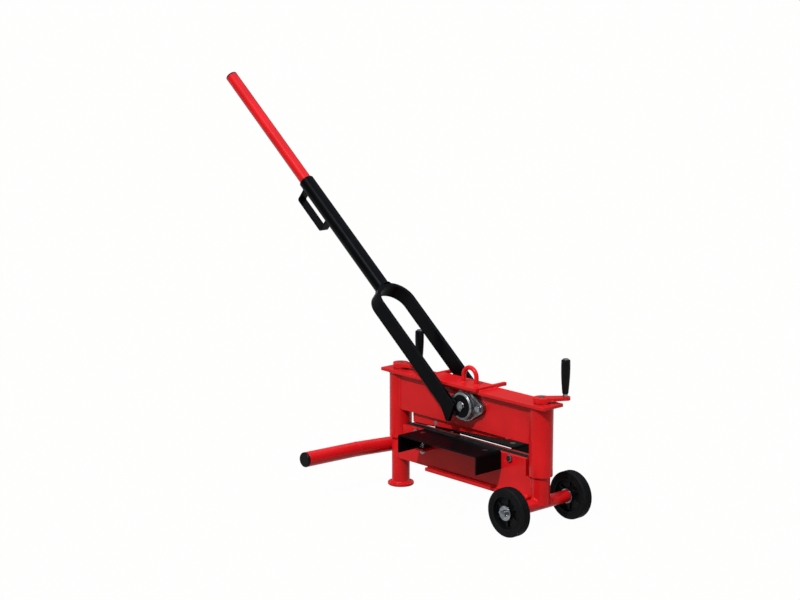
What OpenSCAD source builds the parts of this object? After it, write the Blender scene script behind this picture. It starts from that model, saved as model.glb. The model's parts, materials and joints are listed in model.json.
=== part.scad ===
// Masonry block splitter. A hand lever turns an eccentric, which drives a tilting blade beam down
// onto the stone. The upper frame slides on two posts and is set to height by two cranks.
// Lengths are millimetres. +X runs to the wheels, -Y is the front, +Z is up, and the origin is the
// middle of the foot flange's underside.

/* [Posts and foot] */
// Distance between the axes of the two posts
post_pitch = 520; // [500:1:600]
// Outside diameter of a post
post_d = 48.3; // [46:0.1:51]
// Wall of a post
post_wall = 4; // [3:0.1:5]
// Height of the post tops above the floor
post_top = 296; // [285:1:304]
// Diameter of the foot flange
foot_d = 71; // [60:1:90]
// Thickness of the foot flange
foot_t = 8; // [5:0.5:14]
// Chamfer on the rim of the foot flange
foot_chamfer = 1.5; // [0.5:0.1:2]

/* [Axle and wheels] */
// Diameter of a wheel
wheel_d = 125; // [118:1:135]
// Width of a tyre
wheel_w = 29; // [26:0.5:34]
// Distance between the wheel centres
wheel_pitch = 223; // [200:1:250]
// Diameter of the axle rod
axle_d = 16; // [14:0.5:18]
// Outside diameter of the axle tube
axle_tube_d = 32; // [28:0.5:38]
// Diameter of a wheel hub under its tyre
hub_d = 88; // [82:1:92]
// Diameter of the boss of a wheel hub
hub_boss_d = 36; // [32:1:42]
// Thickness of the web of a wheel hub
hub_web_t = 14; // [10:0.5:18]
// Wall of the rim of a wheel hub
hub_rim_t = 5; // [4:0.5:6]
// Number of pockets in one face of a wheel hub
hub_pockets = 6; // [4:1:8]
// Depth of a pocket in a wheel hub
pocket_depth = 4; // [2:0.5:4.5]
// Width of a spoke between two pockets
spoke_w = 7; // [5:0.5:9]
// Radius of the shoulders of a tyre
tyre_shoulder_r = 8; // [5:0.5:10]
// Depth of a groove in the tread
groove_depth = 1.6; // [1:0.1:2.5]
// Width of a groove in the tread
groove_w = 1.8; // [1:0.1:2.5]
// Diameter of an axle washer
axle_washer_d = 38; // [30:0.5:44]
// Thickness of an axle washer
axle_washer_t = 2; // [1.5:0.1:3]

/* [Lower frame] */
// Distance between the outer faces of the two lower plates
lower_pair_w = 42; // [40:0.5:46]
// Thickness of a lower plate
lower_plate_t = 10; // [9:0.5:11]
// Height of the lower plates' bottom edge above the floor
lower_plate_bottom = 79; // [72:1:88]
// Height of the lower plates' top edge above the floor
lower_plate_top = 175; // [170:0.5:176]
// Thickness of the bottom plate
bottom_plate_t = 9; // [6:0.5:12]
// Width of the bottom plate
bottom_plate_w = 66; // [54:1:80]
// Distance from the left post axis to the bottom plate
bottom_plate_left = 130; // [90:1:180]
// Distance from the right post axis back to the bottom plate's end
bottom_plate_right = 20; // [16:0.5:23]

/* [Blades] */
// Height of the lower blade's edge above the lower plates
lower_edge_rise = 4; // [3:0.1:5]
// Height of the lower blade
lower_blade_h = 40; // [34:1:46]
// Height of the bevels on the lower blade's edge
lower_bevel_h = 6; // [4:0.5:6.5]
// Flat left on the edge of a blade
blade_flat = 2; // [1:0.1:3]
// Opening of the blades under the shaft, with the lever down
mouth_h = 14.2; // [13.4:0.1:15]
// Width of the upper blade
upper_blade_w = 20; // [18:0.5:22]
// Height of the upper blade below its beam
upper_blade_h = 6.4; // [5:0.1:8]
// Width of the upper blade's tongue in the beam
tongue_w = 10; // [8:0.5:12]
// Height of the upper blade's tongue
tongue_h = 18; // [15:0.5:22]
// Place of the upper blade's bolts, as a share of the shorter half of the beam
upper_bolt_share = 0.857; // [0.7:0.001:0.9]
// Distance of the lower blade's bolts from the post axes
lower_bolt_in = 87; // [60:1:92]

/* [Blade beam] */
// Thickness of the blade beam
beam_t = 24; // [22:0.5:25]
// Height of the blade beam's body
beam_h = 54; // [48:1:58]
// Half width of the hump where it meets the body
hump_half_w = 70; // [55:1:85]
// Angle at which the beam hangs, left end down
beam_tilt = 3.2; // [2:0.05:3.4]
// Gap between each end of the beam and its guide block
beam_end_gap = 6.5; // [6:0.1:8]
// Distance from the left post axis to the left guide block's face
guide_left = 52; // [46:1:60]
// Distance from the right post axis back to the right guide block's face
guide_right = 84; // [76:1:90]

/* [Handle] */
// Diameter of the side handle
handle_d = 39.5; // [34:0.5:44]
// Wall of the side handle
handle_wall = 3; // [2:0.1:4]
// Height of the handle's axis beside the left post
handle_z = 103; // [90:1:120]
// Length of the stub in front of the post axis
handle_stub = 120; // [90:1:150]
// Length of the stub behind the post axis
handle_rear = 30; // [20:1:45]
// Reach of the handle in front of the post axis
handle_reach = 303; // [260:1:360]
// Rise angle of the stub
stub_rise = 3.6; // [0:0.1:6]
// Rise angle of the handle tube
tube_rise = 1.4; // [0:0.1:6]
// Thickness of the handle's end cap
handle_cap_t = 7; // [4:0.5:12]

/* [Upper frame] */
// Wall of a sleeve
sleeve_wall = 5.7; // [4.5:0.1:7]
// Height of the sleeves' lower ends above the floor
sleeve_bottom = 135; // [125:1:150]
// Height of the top plate's underside above the floor
top_plate_z = 314; // [314:0.5:322]
// Thickness of the top plate
top_plate_t = 8; // [6:0.5:10]
// Width of the top plate
top_plate_w = 73; // [64:1:80]
// Overhang of the top plate past a post axis
top_plate_over = 41; // [34:1:50]
// Distance between the outer faces of the two upper plates
upper_pair_w = 42; // [42:0.5:46]
// Thickness of an upper plate
upper_plate_t = 8; // [6:0.5:8]
// Height of the upper plates' bottom edge above the floor
upper_plate_bottom = 215.5; // [210:0.5:225]
// Thickness of the bridge plate
bridge_t = 8; // [6:0.5:8]
// Length of the bridge plate to the left of the shaft
bridge_left = 144; // [120:1:160]
// Length of the bridge plate to the right of the shaft
bridge_right = 40; // [34:1:60]
// Reach of the bridge plate to the front
bridge_front = 45.5; // [38:0.5:46]
// Reach of the bridge plate to the rear
bridge_rear = 27; // [20:0.5:36]
// Width of a lever stop
stop_w = 10; // [8:0.5:14]
// Reach of the lever stops to the rear
stop_rear = 66; // [60:0.5:76]
// Diameter of the lifting eye's bar
eye_bar_d = 12; // [8:0.5:14]
// Distance between the legs of the lifting eye
eye_w = 46.5; // [38:0.5:56]
// Height of the lifting eye above the bridge plate
eye_h = 48; // [42:0.5:60]
// Distance of the lifting eye to the left of the shaft
eye_left = 5; // [0:0.5:20]
// Distance of the lifting eye in front of the centre plane
eye_front = 12; // [0:0.5:20]

/* [Shaft and bearings] */
// Distance of the shaft to the right of the middle between the posts
shaft_offset = 22; // [12:1:32]
// Height of the shaft above the floor
shaft_z = 277; // [274:0.5:277.5]
// Diameter of the shaft
shaft_d = 30; // [28:0.5:31]
// Diameter of the shaft's ends
shaft_end_d = 20; // [16:0.5:24]
// Throw of the eccentric
throw = 7; // [6:0.1:7.2]
// Angle of the eccentric below the level with the lever down
throw_angle = 46; // [40:1:48]
// Wall of the yoke bush at its thinnest
bush_wall = 3.2; // [2.8:0.1:3.5]
// Wall of the beam over the yoke bush
beam_eye_wall = 3.2; // [2.8:0.1:3.5]
// Radius of a bearing housing
housing_r = 41; // [39:0.5:46]
// Height of a bearing housing
housing_h = 20; // [18:0.5:22]
// Thickness of the flange of a bearing housing
flange_t = 13; // [10:0.5:14]
// Distance of a flange bolt from the shaft
flange_bolt_x = 50; // [49:0.5:56]
// Radius of an ear of the flange
ear_r = 14; // [12:0.5:16]
// Wall of a shaft bearing
bearing_wall = 7; // [5:0.5:8]

/* [Lever] */
// Angle of the lever above the level at rest
lever_angle = 39; // [37:0.5:42]
// Distance of the lever's centre line below the shaft
lever_drop = 27.5; // [26:0.5:30]
// Width of the fork's flat bar
arm_w = 42; // [36:0.5:46]
// Thickness of the fork's flat bar
arm_t = 10; // [8:0.5:12]
// Clear width between the arms of the fork
fork_gap = 98.6; // [96:0.2:110]
// Length of the fork from the shaft to the centre of its bend
fork_l = 372.5; // [330:0.5:420]
// Distance from the shaft to the heel of an arm
arm_heel = 14; // [12:0.5:20]
// Distance from the shaft to where an arm flares to its toe
arm_flare = 45; // [38:0.5:60]
// Reach of an arm's toe below the shaft
toe_out = 64.5; // [58:0.5:68]
// Width of the blunt tip of a toe
toe_w = 6; // [4:0.5:9]
// Radius of a hub disc
disc_r = 36; // [33:0.5:39]
// Thickness of a hub disc
disc_t = 8; // [6:0.5:9]
// Outside diameter of the lever tube
lever_tube_d = 42.4; // [40:0.1:44]
// Length of the lever tube from the bend's apex
lever_tube_l = 407; // [350:1:460]
// Diameter of the extension bar
extension_d = 33.7; // [32:0.1:35]
// Wall of the extension bar
extension_wall = 3; // [2:0.1:4]
// Length of the extension bar outside the lever tube
extension_out = 425; // [350:1:500]
// Length of the extension bar inside the lever tube at rest
extension_in = 90; // [60:1:95]
// Thickness of the extension's end plug
plug_t = 4; // [2:0.5:8]
// Width of the strap grip's flat bar
strap_w = 26; // [20:0.5:30]
// Thickness of the strap grip's flat bar
strap_t = 5; // [4:0.5:7]
// Length of the strap grip
strap_l = 124; // [95:1:140]
// Stand-off of the strap grip from the lever tube
strap_out = 35.8; // [33:0.1:48]
// Distance of the strap grip below the lever tube's upper end
strap_below = 15; // [10:0.5:40]

/* [Height cranks] */
// Diameter of a threaded spindle
spindle_d = 16; // [14:0.5:18]
// Height of the spindles' lower ends above the floor
spindle_bottom = 160; // [150:1:175]
// Length of a spindle nut
spindle_nut_l = 24; // [18:0.5:30]
// Diameter of a spindle collar
collar_d = 28; // [24:0.5:34]
// Thickness of a spindle collar
collar_t = 8; // [6:0.5:9]
// Radius of a crank
crank_r = 60; // [52:0.5:66]
// Thickness of a crank arm
crank_arm_t = 8; // [6:0.5:9]
// Height of a crank arm's upper face above the top plate
crank_rise = 14; // [12.5:0.5:18]
// Diameter of a crank hub
crank_hub_d = 42; // [36:0.5:48]
// Radius of a crank arm's free end
crank_end_r = 13; // [10:0.5:15]
// Turn of the left crank from the wheels' side
left_crank_turn = 13; // [-15:1:15]
// Turn of the right crank from the wheels' side
right_crank_turn = 57; // [-180:1:180]
// Diameter of a grip stud
stud_d = 8; // [7:0.5:10]
// Length of a grip
grip_l = 86; // [75:0.5:90]
// Largest diameter of a grip
grip_d = 22.6; // [20:0.2:25]
// Diameter of a grip's lower end
grip_low_d = 16; // [14:0.5:18]
// Gap between a crank arm and its grip
grip_lift = 8; // [5:0.5:10]

/* [Tables] */
// Distance from the left post axis to the tables
table_left = 110; // [104:1:118]
// Length of a table
table_l = 292; // [270:1:300]
// Gap between a lower plate and its table
table_gap = 1; // [0.6:0.1:3]
// Depth of a table from its inner edge to its outer edge
table_depth = 89; // [78:1:100]
// Height of the tables' upper faces above the floor
table_top = 180; // [179:0.5:182]
// Thickness of a table's sheet
table_t = 4; // [3:0.5:5]
// Height of a table's end flanges
table_flange = 49; // [40:0.5:52]
// Outside radius of a table's bends
table_bend_r = 7; // [6:0.5:9]
// Distance of a table bolt from the end of its table
table_bolt_in = 30; // [27:0.5:40]
// Distance of a table bolt from the lower plate behind it
table_bolt_out = 29; // [25:0.5:40]
// Diameter of a table bolt
table_bolt_d = 8; // [7:0.5:9]
// Travel of a table
table_travel = 12; // [8:0.5:14]
// Wire of a table spring
spring_wire = 2; // [1.6:0.1:2.4]
// Mean diameter of a table spring
spring_d = 15; // [14:0.5:18]
// Turns of a table spring
spring_turns = 6; // [4:1:7]

/* [Hidden] */
$fn = 64;
// How far a cut runs past the faces that it opens
overrun = 1;
// Radial clearance between a post and its sleeve
sleeve_clear = 0.3;
// Radial clearance of a running fit
run_clear = 0.05;
// Radial clearance of a bolt or spindle in a plain hole
hole_clear = 0.3;
// Clearance between two faces that move past each other
face_clear = 0.3;

paint_red = [0.78, 0.07, 0.09];
paint_black = [0.05, 0.05, 0.06];
zinc = [0.72, 0.73, 0.75];
steel = [0.45, 0.45, 0.47];
bronze = [0.65, 0.48, 0.28];
rubber = [0.08, 0.08, 0.09];
plastic = [0.06, 0.06, 0.07];

post_r = post_d / 2;
post_bore = post_d - 2 * post_wall;
post_xs = [0, post_pitch];
sleeve_bore = post_d + 2 * sleeve_clear;
sleeve_d = sleeve_bore + 2 * sleeve_wall;
sleeve_r = sleeve_d / 2;

axle_z = wheel_d / 2;
// Gap between a wheel and a washer
wheel_side_gap = 0.4;
axle_tube_half = (wheel_pitch - wheel_w) / 2 - wheel_side_gap - axle_washer_t;
axle_bore = axle_d + 2 * run_clear;
// How far the hub's boss stays inside the tyre's outer face
boss_inset = 1.5;
outer_washer_y = (wheel_pitch + wheel_w) / 2 - boss_inset + wheel_side_gap;
// Length of the axle rod past an outer washer
axle_end_l = 7;
axle_half = outer_washer_y + axle_washer_t + axle_end_l;
split_pin_d = 3;
split_pin_l = axle_d + 2 * split_pin_d;
// Place of the split pin between the outer washer and the end of the axle
split_pin_share = 0.5;
split_pin_y = outer_washer_y + axle_washer_t + split_pin_share * axle_end_l;

lower_face = lower_pair_w / 2;
lower_inner = lower_face - lower_plate_t;
// Gap between a sleeve and what stands beside it on the base
notch_gap = 2;
// Depth of the notch under a sleeve's lower end
notch_below = 5;
notch_x = sleeve_r + notch_gap;
notch_z = sleeve_bottom - notch_below;

lower_edge_z = lower_plate_top + lower_edge_rise;
upper_edge_z = lower_edge_z + mouth_h;
// Diameter of a blade bolt's shank
blade_bolt_d = 10;
// Across the corners of a blade bolt's head
blade_bolt_head_d = 18;
blade_bolt_head_t = 6.4;
// Depth of a blade bolt in the lower blade, as a share of the blade's width
bolt_depth_share = 0.6;
// Distance of the lower blade bolts below the plates' top edge
lower_bolt_drop = 9;
lower_bolt_z = lower_plate_top - lower_bolt_drop;

shaft_x = post_pitch / 2 + shaft_offset;
// How far the eccentric stands out past the shaft on its low side
journal_step = 1;
journal_d = shaft_d + 2 * throw + 2 * journal_step;
journal_x = shaft_x - throw * cos(throw_angle);
journal_z = shaft_z - throw * sin(throw_angle);
bush_x = shaft_x - throw * (1 + cos(throw_angle)) / 2;
bush_z = journal_z;
slot_half = throw * (1 - cos(throw_angle)) / 2;
// Clearance of the eccentric in the bush, more than its path leaves a straight line
slot_clear = 0.35;
slot_d = journal_d + 2 * slot_clear;
bush_d = slot_d + 2 * slot_half + 2 * bush_wall;
beam_bore = bush_d + 2 * run_clear;
beam_eye_r = beam_bore / 2 + beam_eye_wall;

beam_half_t = beam_t / 2;
beam_left = bush_x - guide_left - beam_end_gap;
beam_right = post_pitch - guide_right - beam_end_gap - bush_x;
beam_low = upper_edge_z + upper_blade_h - bush_z;
beam_high = beam_low + beam_h;
// Diameter of the upper blade bolts' heads, sunk into the beam
upper_bolt_head_d = 13;
upper_bolt_head_t = 5;
upper_bolt_d = 8;
// Distance of the upper blade bolts above the beam's lower edge
upper_bolt_rise = 8;
upper_bolt_z = beam_low + upper_bolt_rise;
upper_bolt_x = upper_bolt_share * min(beam_left, beam_right);
upper_bolt_xs = [-upper_bolt_x, upper_bolt_x];
lower_bolt_xs = [lower_bolt_in, post_pitch - lower_bolt_in];

// Depth to which the handle is coped against the post
handle_seat = 1;
handle_x = -post_r - handle_d / 2 + handle_seat;
handle_bore = handle_d - 2 * handle_wall;
handle_joint_z = handle_z + handle_stub * tan(stub_rise);
handle_mitre = (stub_rise + tube_rise) / 2;
handle_tube_l = (handle_reach - handle_cap_t - handle_stub) / cos(tube_rise);
// Depth of the cap's spigot in the tube
cap_spigot_l = 16;
cap_chamfer = 2;

upper_face = upper_pair_w / 2;
upper_inner = upper_face - upper_plate_t;
top_plate_top = top_plate_z + top_plate_t;
plate_corner_r = 4;
bridge_top = top_plate_top + bridge_t;
// Gap of the shaft in the holes of the upper plates
shaft_hole_gap = 2;
// Guide blocks stay this far inside the upper plates' bottom edge and below the top plate
guide_low_gap = 6;
guide_high_gap = 14;
guide_z = [upper_plate_bottom + guide_low_gap, top_plate_z - guide_high_gap];

bearing_d = shaft_d + 2 * run_clear + 2 * bearing_wall;
housing_face = upper_face + housing_h;
flange_bolt_d = 12;
flange_bolt_head_d = 20;
flange_bolt_head_t = 7;
// Step and ridge around the housing's nose
nose_step = 3;
nose_r = housing_r - nose_step;
nose_step_h = flange_t + nose_step;
ridge_w = 2.5;

fork_half = fork_gap / 2;
disc_face = fork_half - disc_t;
arm_face = fork_half + arm_t;
arm_near = lever_drop - arm_w / 2;
arm_far = lever_drop + arm_w / 2;
bend_r = fork_half + arm_t;
lever_apex = fork_l + bend_r;
lever_tube_end = lever_apex + lever_tube_l;
lever_bore = extension_d + 2 * face_clear;
extension_start = lever_tube_end - extension_in;
extension_end = lever_tube_end + extension_out;
extension_bore = extension_d - 2 * extension_wall;
plug_spigot_l = 20;
strap_r = 7;
// Retaining ring on each end of the shaft, open towards the wheels
ring_d = 26;
ring_t = 2.4;
ring_gap = 13;
// Length of the shaft past its retaining ring
shaft_end_l = 2.7;
shaft_half = fork_half + ring_t + shaft_end_l;
hub_bolt_d = 8;
hub_bolt_head_d = 13;
hub_bolt_head_t = 4.5;
// Distance of the hub bolt from the shaft
hub_bolt_drop = 28.5;

// Height of the arm's underside over a place on the X axis
function arm_under(x) = shaft_z + (shaft_x - x - arm_far * sin(lever_angle)) * tan(lever_angle)
    - arm_far * cos(lever_angle);
stop_left_x = shaft_x - bridge_left - stop_w;
stop_right_x = shaft_x + bridge_right;
stop_top = arm_under(stop_left_x + stop_w) - face_clear;

thrust_washer_d = 38;
thrust_washer_t = 2.5;
crank_top = top_plate_top + crank_rise;
crank_arm_z = crank_top - crank_arm_t;
crank_hub_z = top_plate_top + thrust_washer_t + face_clear;
// How far the root of a crank arm stays inside the crank's hub
crank_root_in = 1.5;
// How far the sides of a crank arm stay inside the round of its free end
crank_side_in = 1;
// How far a crank's hub stands above its arm
crank_hub_rise = 1;
// Height of the spindle's end above the crank
spindle_end_h = 2;
collar_z = top_plate_z - face_clear - collar_t;
grip_z = crank_top + grip_lift;
grip_top = grip_z + grip_l;
stud_collar_d = 13;
stud_head_d = 15;
stud_head_t = 2.5;
// Widest place of a grip, as a share of its length
grip_belly_share = 0.8;
grip_round_r = 4;

table_rear_y = -lower_face - table_gap;
table_front_y = table_rear_y - table_depth;
table_under = table_top - table_t;
table_bolt_y = -lower_face - table_bolt_out;
table_bolt_xs = [table_left + table_bolt_in, table_left + table_l - table_bolt_in];
bracket_t = 6;
bracket_w = 30;
// Height of a bracket's leg above its shelf
bracket_leg = 22;
// Bracket in front of its bolt
bracket_nose = 13;
// Height of a table spring when its table is up
spring_h = 38;
bracket_top = table_under - spring_h;
bracket_bore = table_bolt_d + 4 * run_clear;
table_nut_d = 15;
table_nut_t = 6.5;
table_bolt_end = 3;
table_bolt_head_d = 15;
// Depth of a table bolt's head in the sheet, as a share of the sheet
table_head_share = 0.75;
table_nut_z = bracket_top - bracket_t - face_clear - table_nut_t;

// Rings in a turn of a spring, and sides of its wire
turn_rings = 8;
wire_sides = 6;
// Gap between a spring and its seats
spring_seat = 0.1;
spring_low = bracket_top + spring_wire / 2 + spring_seat;
spring_rise = spring_h - spring_wire - 2 * spring_seat;
spring_steps = spring_turns * turn_rings;

function spring_at(i) = [
    spring_d / 2 * cos(360 * i / turn_rings),
    spring_d / 2 * sin(360 * i / turn_rings),
    spring_low + spring_rise * i / spring_steps
];
spring_gaps = [
    for (i = [0 : spring_steps], j = [i + turn_rings / 2 : 1 : spring_steps])
        norm(spring_at(i) - spring_at(j)) - spring_wire
];
echo(least_spring_gap = min(spring_gaps));

// A round bar along Y
module rod_y(d, y0, y1) {
    translate([0, y1, 0])
        rotate([90, 0, 0])
            cylinder(h = y1 - y0, d = d);
}

// A flat outline in X and Z, extruded along Y
module slab_y(y0, y1) {
    translate([0, y1, 0])
        rotate([90, 0, 0])
            linear_extrude(y1 - y0)
                children();
}

// A round bar along X
module rod_x(d, x0, x1) {
    translate([x0, 0, 0])
        rotate([0, 90, 0])
            cylinder(h = x1 - x0, d = d);
}

// An upright round bar, or a bore to cut
module rod_z(d, z0, z1) {
    translate([0, 0, z0])
        cylinder(h = z1 - z0, d = d);
}

// An upright tube
module tube_z(d, bore, z0, z1) {
    difference() {
        rod_z(d, z0, z1);
        rod_z(bore, z0 - overrun, z1 + overrun);
    }
}

// A hexagon head that stands on z = 0
module hex_head(d, t) {
    cylinder(h = t, d = d, $fn = 6);
}

// A rectangle with four round corners, from its lower left corner
module round_rect(w, h, r) {
    translate([r, 0])
        square([w - 2 * r, h]);
    translate([0, r])
        square([w, h - 2 * r]);
    for (x = [r, w - r], y = [r, h - r])
        translate([x, y])
            circle(r);
}

// A rectangle with two round upper corners, from its lower left corner
module arch_rect(w, h, r) {
    square([w, h - r]);
    translate([r, 0])
        square([w - 2 * r, h]);
    for (x = [r, w - r])
        translate([x, h - r])
            circle(r);
}

// Two circles with their common tangents
module teardrop(r1, r2, dist) {
    a = acos((r1 - r2) / dist);
    circle(r1);
    translate([dist, 0])
        circle(r2);
    polygon([
        [r1 * cos(a), r1 * sin(a)],
        [dist + r2 * cos(a), r2 * sin(a)],
        [dist + r2 * cos(a), -r2 * sin(a)],
        [r1 * cos(a), -r1 * sin(a)]
    ]);
}

// The two posts' outsides, to cope plates against
module post_cuts(d) {
    for (x = post_xs)
        translate([x, 0, 0])
            rod_z(d, -overrun, top_plate_z + overrun);
}

// Places its children on the blade beam, with the bush's axis as their origin
module on_beam() {
    translate([bush_x, 0, bush_z])
        rotate([0, -beam_tilt, 0])
            children();
}

// Places its children on the lever: X along the lever from the shaft, Z towards its underside
module on_lever() {
    translate([shaft_x, 0, shaft_z])
        rotate([0, lever_angle - 180, 0])
            children();
}

// Places its children on the outside of an upper plate, with Z away from the plate
module on_upper_face(side) {
    translate([shaft_x, side * upper_face, shaft_z])
        rotate([-90 * side, 0, 0])
            children();
}

// Places its children on a crank, with X along its arm
module on_crank(x, turn) {
    translate([x, 0, 0])
        rotate([0, 0, turn])
            children();
}

// Base

module left_post() {
    color(paint_red)
        tube_z(post_d, post_bore, foot_t, post_top);
}

module foot_flange() {
    color(paint_red)
        rotate_extrude()
            polygon([
                [0, 0],
                [foot_d / 2 - foot_chamfer, 0],
                [foot_d / 2, foot_chamfer],
                [foot_d / 2, foot_t - foot_chamfer],
                [foot_d / 2 - foot_chamfer, foot_t],
                [0, foot_t]
            ]);
}

module right_post() {
    color(paint_red)
        translate([post_pitch, 0, 0])
            difference() {
                tube_z(post_d, post_bore, axle_z, post_top);
                translate([0, 0, axle_z])
                    rod_y(axle_tube_d, -post_d, post_d);
            }
}

module axle_tube() {
    color(paint_red)
        translate([post_pitch, 0, axle_z])
            difference() {
                rod_y(axle_tube_d, -axle_tube_half, axle_tube_half);
                rod_y(axle_bore, -axle_tube_half - overrun, axle_tube_half + overrun);
            }
}

module lower_plate(side) {
    y0 = side < 0 ? -lower_face : lower_inner;
    color(paint_red)
        difference() {
            slab_y(y0, y0 + lower_plate_t)
                polygon([
                    [0, lower_plate_bottom],
                    [post_pitch, lower_plate_bottom],
                    [post_pitch, notch_z],
                    [post_pitch - notch_x, notch_z],
                    [post_pitch - notch_x, lower_plate_top],
                    [notch_x, lower_plate_top],
                    [notch_x, notch_z],
                    [0, notch_z]
                ]);
            post_cuts(post_d);
            if (side < 0)
                lower_bolt_holes();
        }
}

module lower_front_plate() {
    lower_plate(-1);
}

module lower_rear_plate() {
    lower_plate(1);
}

module lower_bolt_holes() {
    for (x = lower_bolt_xs)
        translate([x, 0, lower_bolt_z])
            rod_y(blade_bolt_d, -lower_face - overrun, lower_inner * (2 * bolt_depth_share - 1));
}

module bottom_plate() {
    z0 = lower_plate_bottom - bottom_plate_t;
    color(paint_red)
        difference() {
            translate([bottom_plate_left, -bottom_plate_w / 2, z0])
                cube([post_pitch - bottom_plate_right - bottom_plate_left, bottom_plate_w, bottom_plate_t]);
            post_cuts(post_d);
        }
}

module lower_blade() {
    shoulder_z = lower_edge_z - lower_bevel_h;
    color(steel)
        difference() {
            translate([notch_x, 0, 0])
                rotate([90, 0, 90])
                    linear_extrude(post_pitch - 2 * notch_x)
                        polygon([
                            [-lower_inner, lower_edge_z - lower_blade_h],
                            [lower_inner, lower_edge_z - lower_blade_h],
                            [lower_inner, shoulder_z],
                            [blade_flat / 2, lower_edge_z],
                            [-blade_flat / 2, lower_edge_z],
                            [-lower_inner, shoulder_z]
                        ]);
            lower_bolt_holes();
        }
}

module lower_blade_bolts() {
    shank_end = lower_inner * (2 * bolt_depth_share - 1);
    color(zinc)
        for (x = lower_bolt_xs)
            translate([x, 0, lower_bolt_z]) {
                rod_y(blade_bolt_d, -lower_face, shank_end);
                translate([0, -lower_face, 0])
                    rotate([90, 0, 0])
                        hex_head(blade_bolt_head_d, blade_bolt_head_t);
            }
}

module spindle_nuts() {
    color(steel)
        for (x = post_xs)
            translate([x, 0, 0])
                tube_z(post_bore, spindle_d + 2 * run_clear, post_top - spindle_nut_l, post_top);
}

// The side of the handle's mitre that the other run takes
module mitre_cut(low) {
    translate([handle_x, -handle_stub, handle_joint_z])
        rotate([90 - handle_mitre, 0, 0])
            translate([-handle_d, -handle_d, low ? -2 * handle_d : 0])
                cube(2 * handle_d);
}

module handle_stub() {
    run_l = (handle_rear + handle_stub) / cos(stub_rise) + handle_wall;
    color(paint_red)
        difference() {
            translate([handle_x, handle_rear, handle_z - handle_rear * tan(stub_rise)])
                rotate([90 - stub_rise, 0, 0])
                    tube_z(handle_d, handle_bore, 0, run_l);
            mitre_cut(false);
            post_cuts(post_d);
        }
}

// Places its children on the handle tube, with Z along it from the mitre
module on_handle_tube() {
    translate([handle_x, -handle_stub, handle_joint_z])
        rotate([90 - tube_rise, 0, 0])
            children();
}

module handle_tube() {
    color(paint_red)
        difference() {
            on_handle_tube()
                tube_z(handle_d, handle_bore, -handle_wall, handle_tube_l);
            mitre_cut(true);
        }
}

module handle_cap() {
    color(plastic)
        on_handle_tube()
            translate([0, 0, handle_tube_l]) {
                cylinder(h = handle_cap_t - cap_chamfer, d = handle_d);
                translate([0, 0, handle_cap_t - cap_chamfer])
                    cylinder(h = cap_chamfer, d1 = handle_d, d2 = handle_d - 2 * cap_chamfer);
                rod_z(handle_bore, -cap_spigot_l, 0);
            }
}

module axle_rod() {
    color(steel)
        translate([post_pitch, 0, axle_z])
            difference() {
                rod_y(axle_d, -axle_half, axle_half);
                for (side = [-1, 1])
                    translate([0, side * split_pin_y, 0])
                        rod_x(split_pin_d, -axle_d, axle_d);
            }
}

module axle_washers() {
    color(zinc)
        translate([post_pitch, 0, axle_z])
            for (side = [-1, 1], y = [axle_tube_half, outer_washer_y])
                translate([0, side > 0 ? y : -y - axle_washer_t, 0])
                    difference() {
                        rod_y(axle_washer_d, 0, axle_washer_t);
                        rod_y(axle_bore, -overrun, axle_washer_t + overrun);
                    }
}

module split_pins() {
    color(zinc)
        for (side = [-1, 1])
            translate([post_pitch, side * split_pin_y, axle_z])
                rotate([0, -90, 0]) {
                    cylinder(d = split_pin_d, h = split_pin_l, center = true);
                    translate([0, 0, split_pin_l / 2])
                        sphere(d = 2 * split_pin_d);
                }
}

// The front of the machine as drawn, or its mirror image at the rear
module on_side(side) {
    if (side < 0)
        children();
    else
        mirror([0, 1, 0])
            children();
}

module front_table_brackets() {
    nose_y = table_bolt_y - bracket_nose;
    for (x = table_bolt_xs)
        difference() {
            translate([x - bracket_w / 2, 0, 0]) {
                translate([0, nose_y, bracket_top - bracket_t])
                    cube([bracket_w, -lower_face - nose_y, bracket_t]);
                translate([0, -lower_face - bracket_t, bracket_top - bracket_t])
                    cube([bracket_w, bracket_t, bracket_t + bracket_leg]);
            }
            translate([x, table_bolt_y, 0])
                rod_z(bracket_bore, bracket_top - bracket_t - overrun, bracket_top + overrun);
        }
}

module table_brackets() {
    color(paint_red)
        for (side = [-1, 1])
            on_side(side)
                front_table_brackets();
}

// One coil of round wire between a bracket and its table
module coil() {
    rings = [for (i = [0 : spring_steps], k = [0 : wire_sides - 1])
        let (turn = 360 * i / turn_rings, out = 360 * k / wire_sides, c = spring_at(i))
        c + spring_wire / 2 * [cos(out) * cos(turn), cos(out) * sin(turn), sin(out)]
    ];
    walls = [for (i = [0 : spring_steps - 1], k = [0 : wire_sides - 1])
        let (a = i * wire_sides + k, b = i * wire_sides + (k + 1) % wire_sides)
        each [[a, b, b + wire_sides], [a, b + wire_sides, a + wire_sides]]
    ];
    low_end = [for (k = [1 : wire_sides - 2]) [0, k + 1, k]];
    last = spring_steps * wire_sides;
    high_end = [for (k = [1 : wire_sides - 2]) [last, last + k, last + k + 1]];
    polyhedron(points = rings, faces = concat(walls, low_end, high_end));
}

module table_springs(side) {
    color(zinc)
        on_side(side)
            for (x = table_bolt_xs)
                translate([x, table_bolt_y, 0])
                    coil();
}

module front_table_springs() {
    table_springs(-1);
}

module rear_table_springs() {
    table_springs(1);
}

// Wheels

module wheel_at(side) {
    translate([post_pitch, side * wheel_pitch / 2, axle_z])
        rotate([90 * -side, 0, 0])
            children();
}

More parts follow.
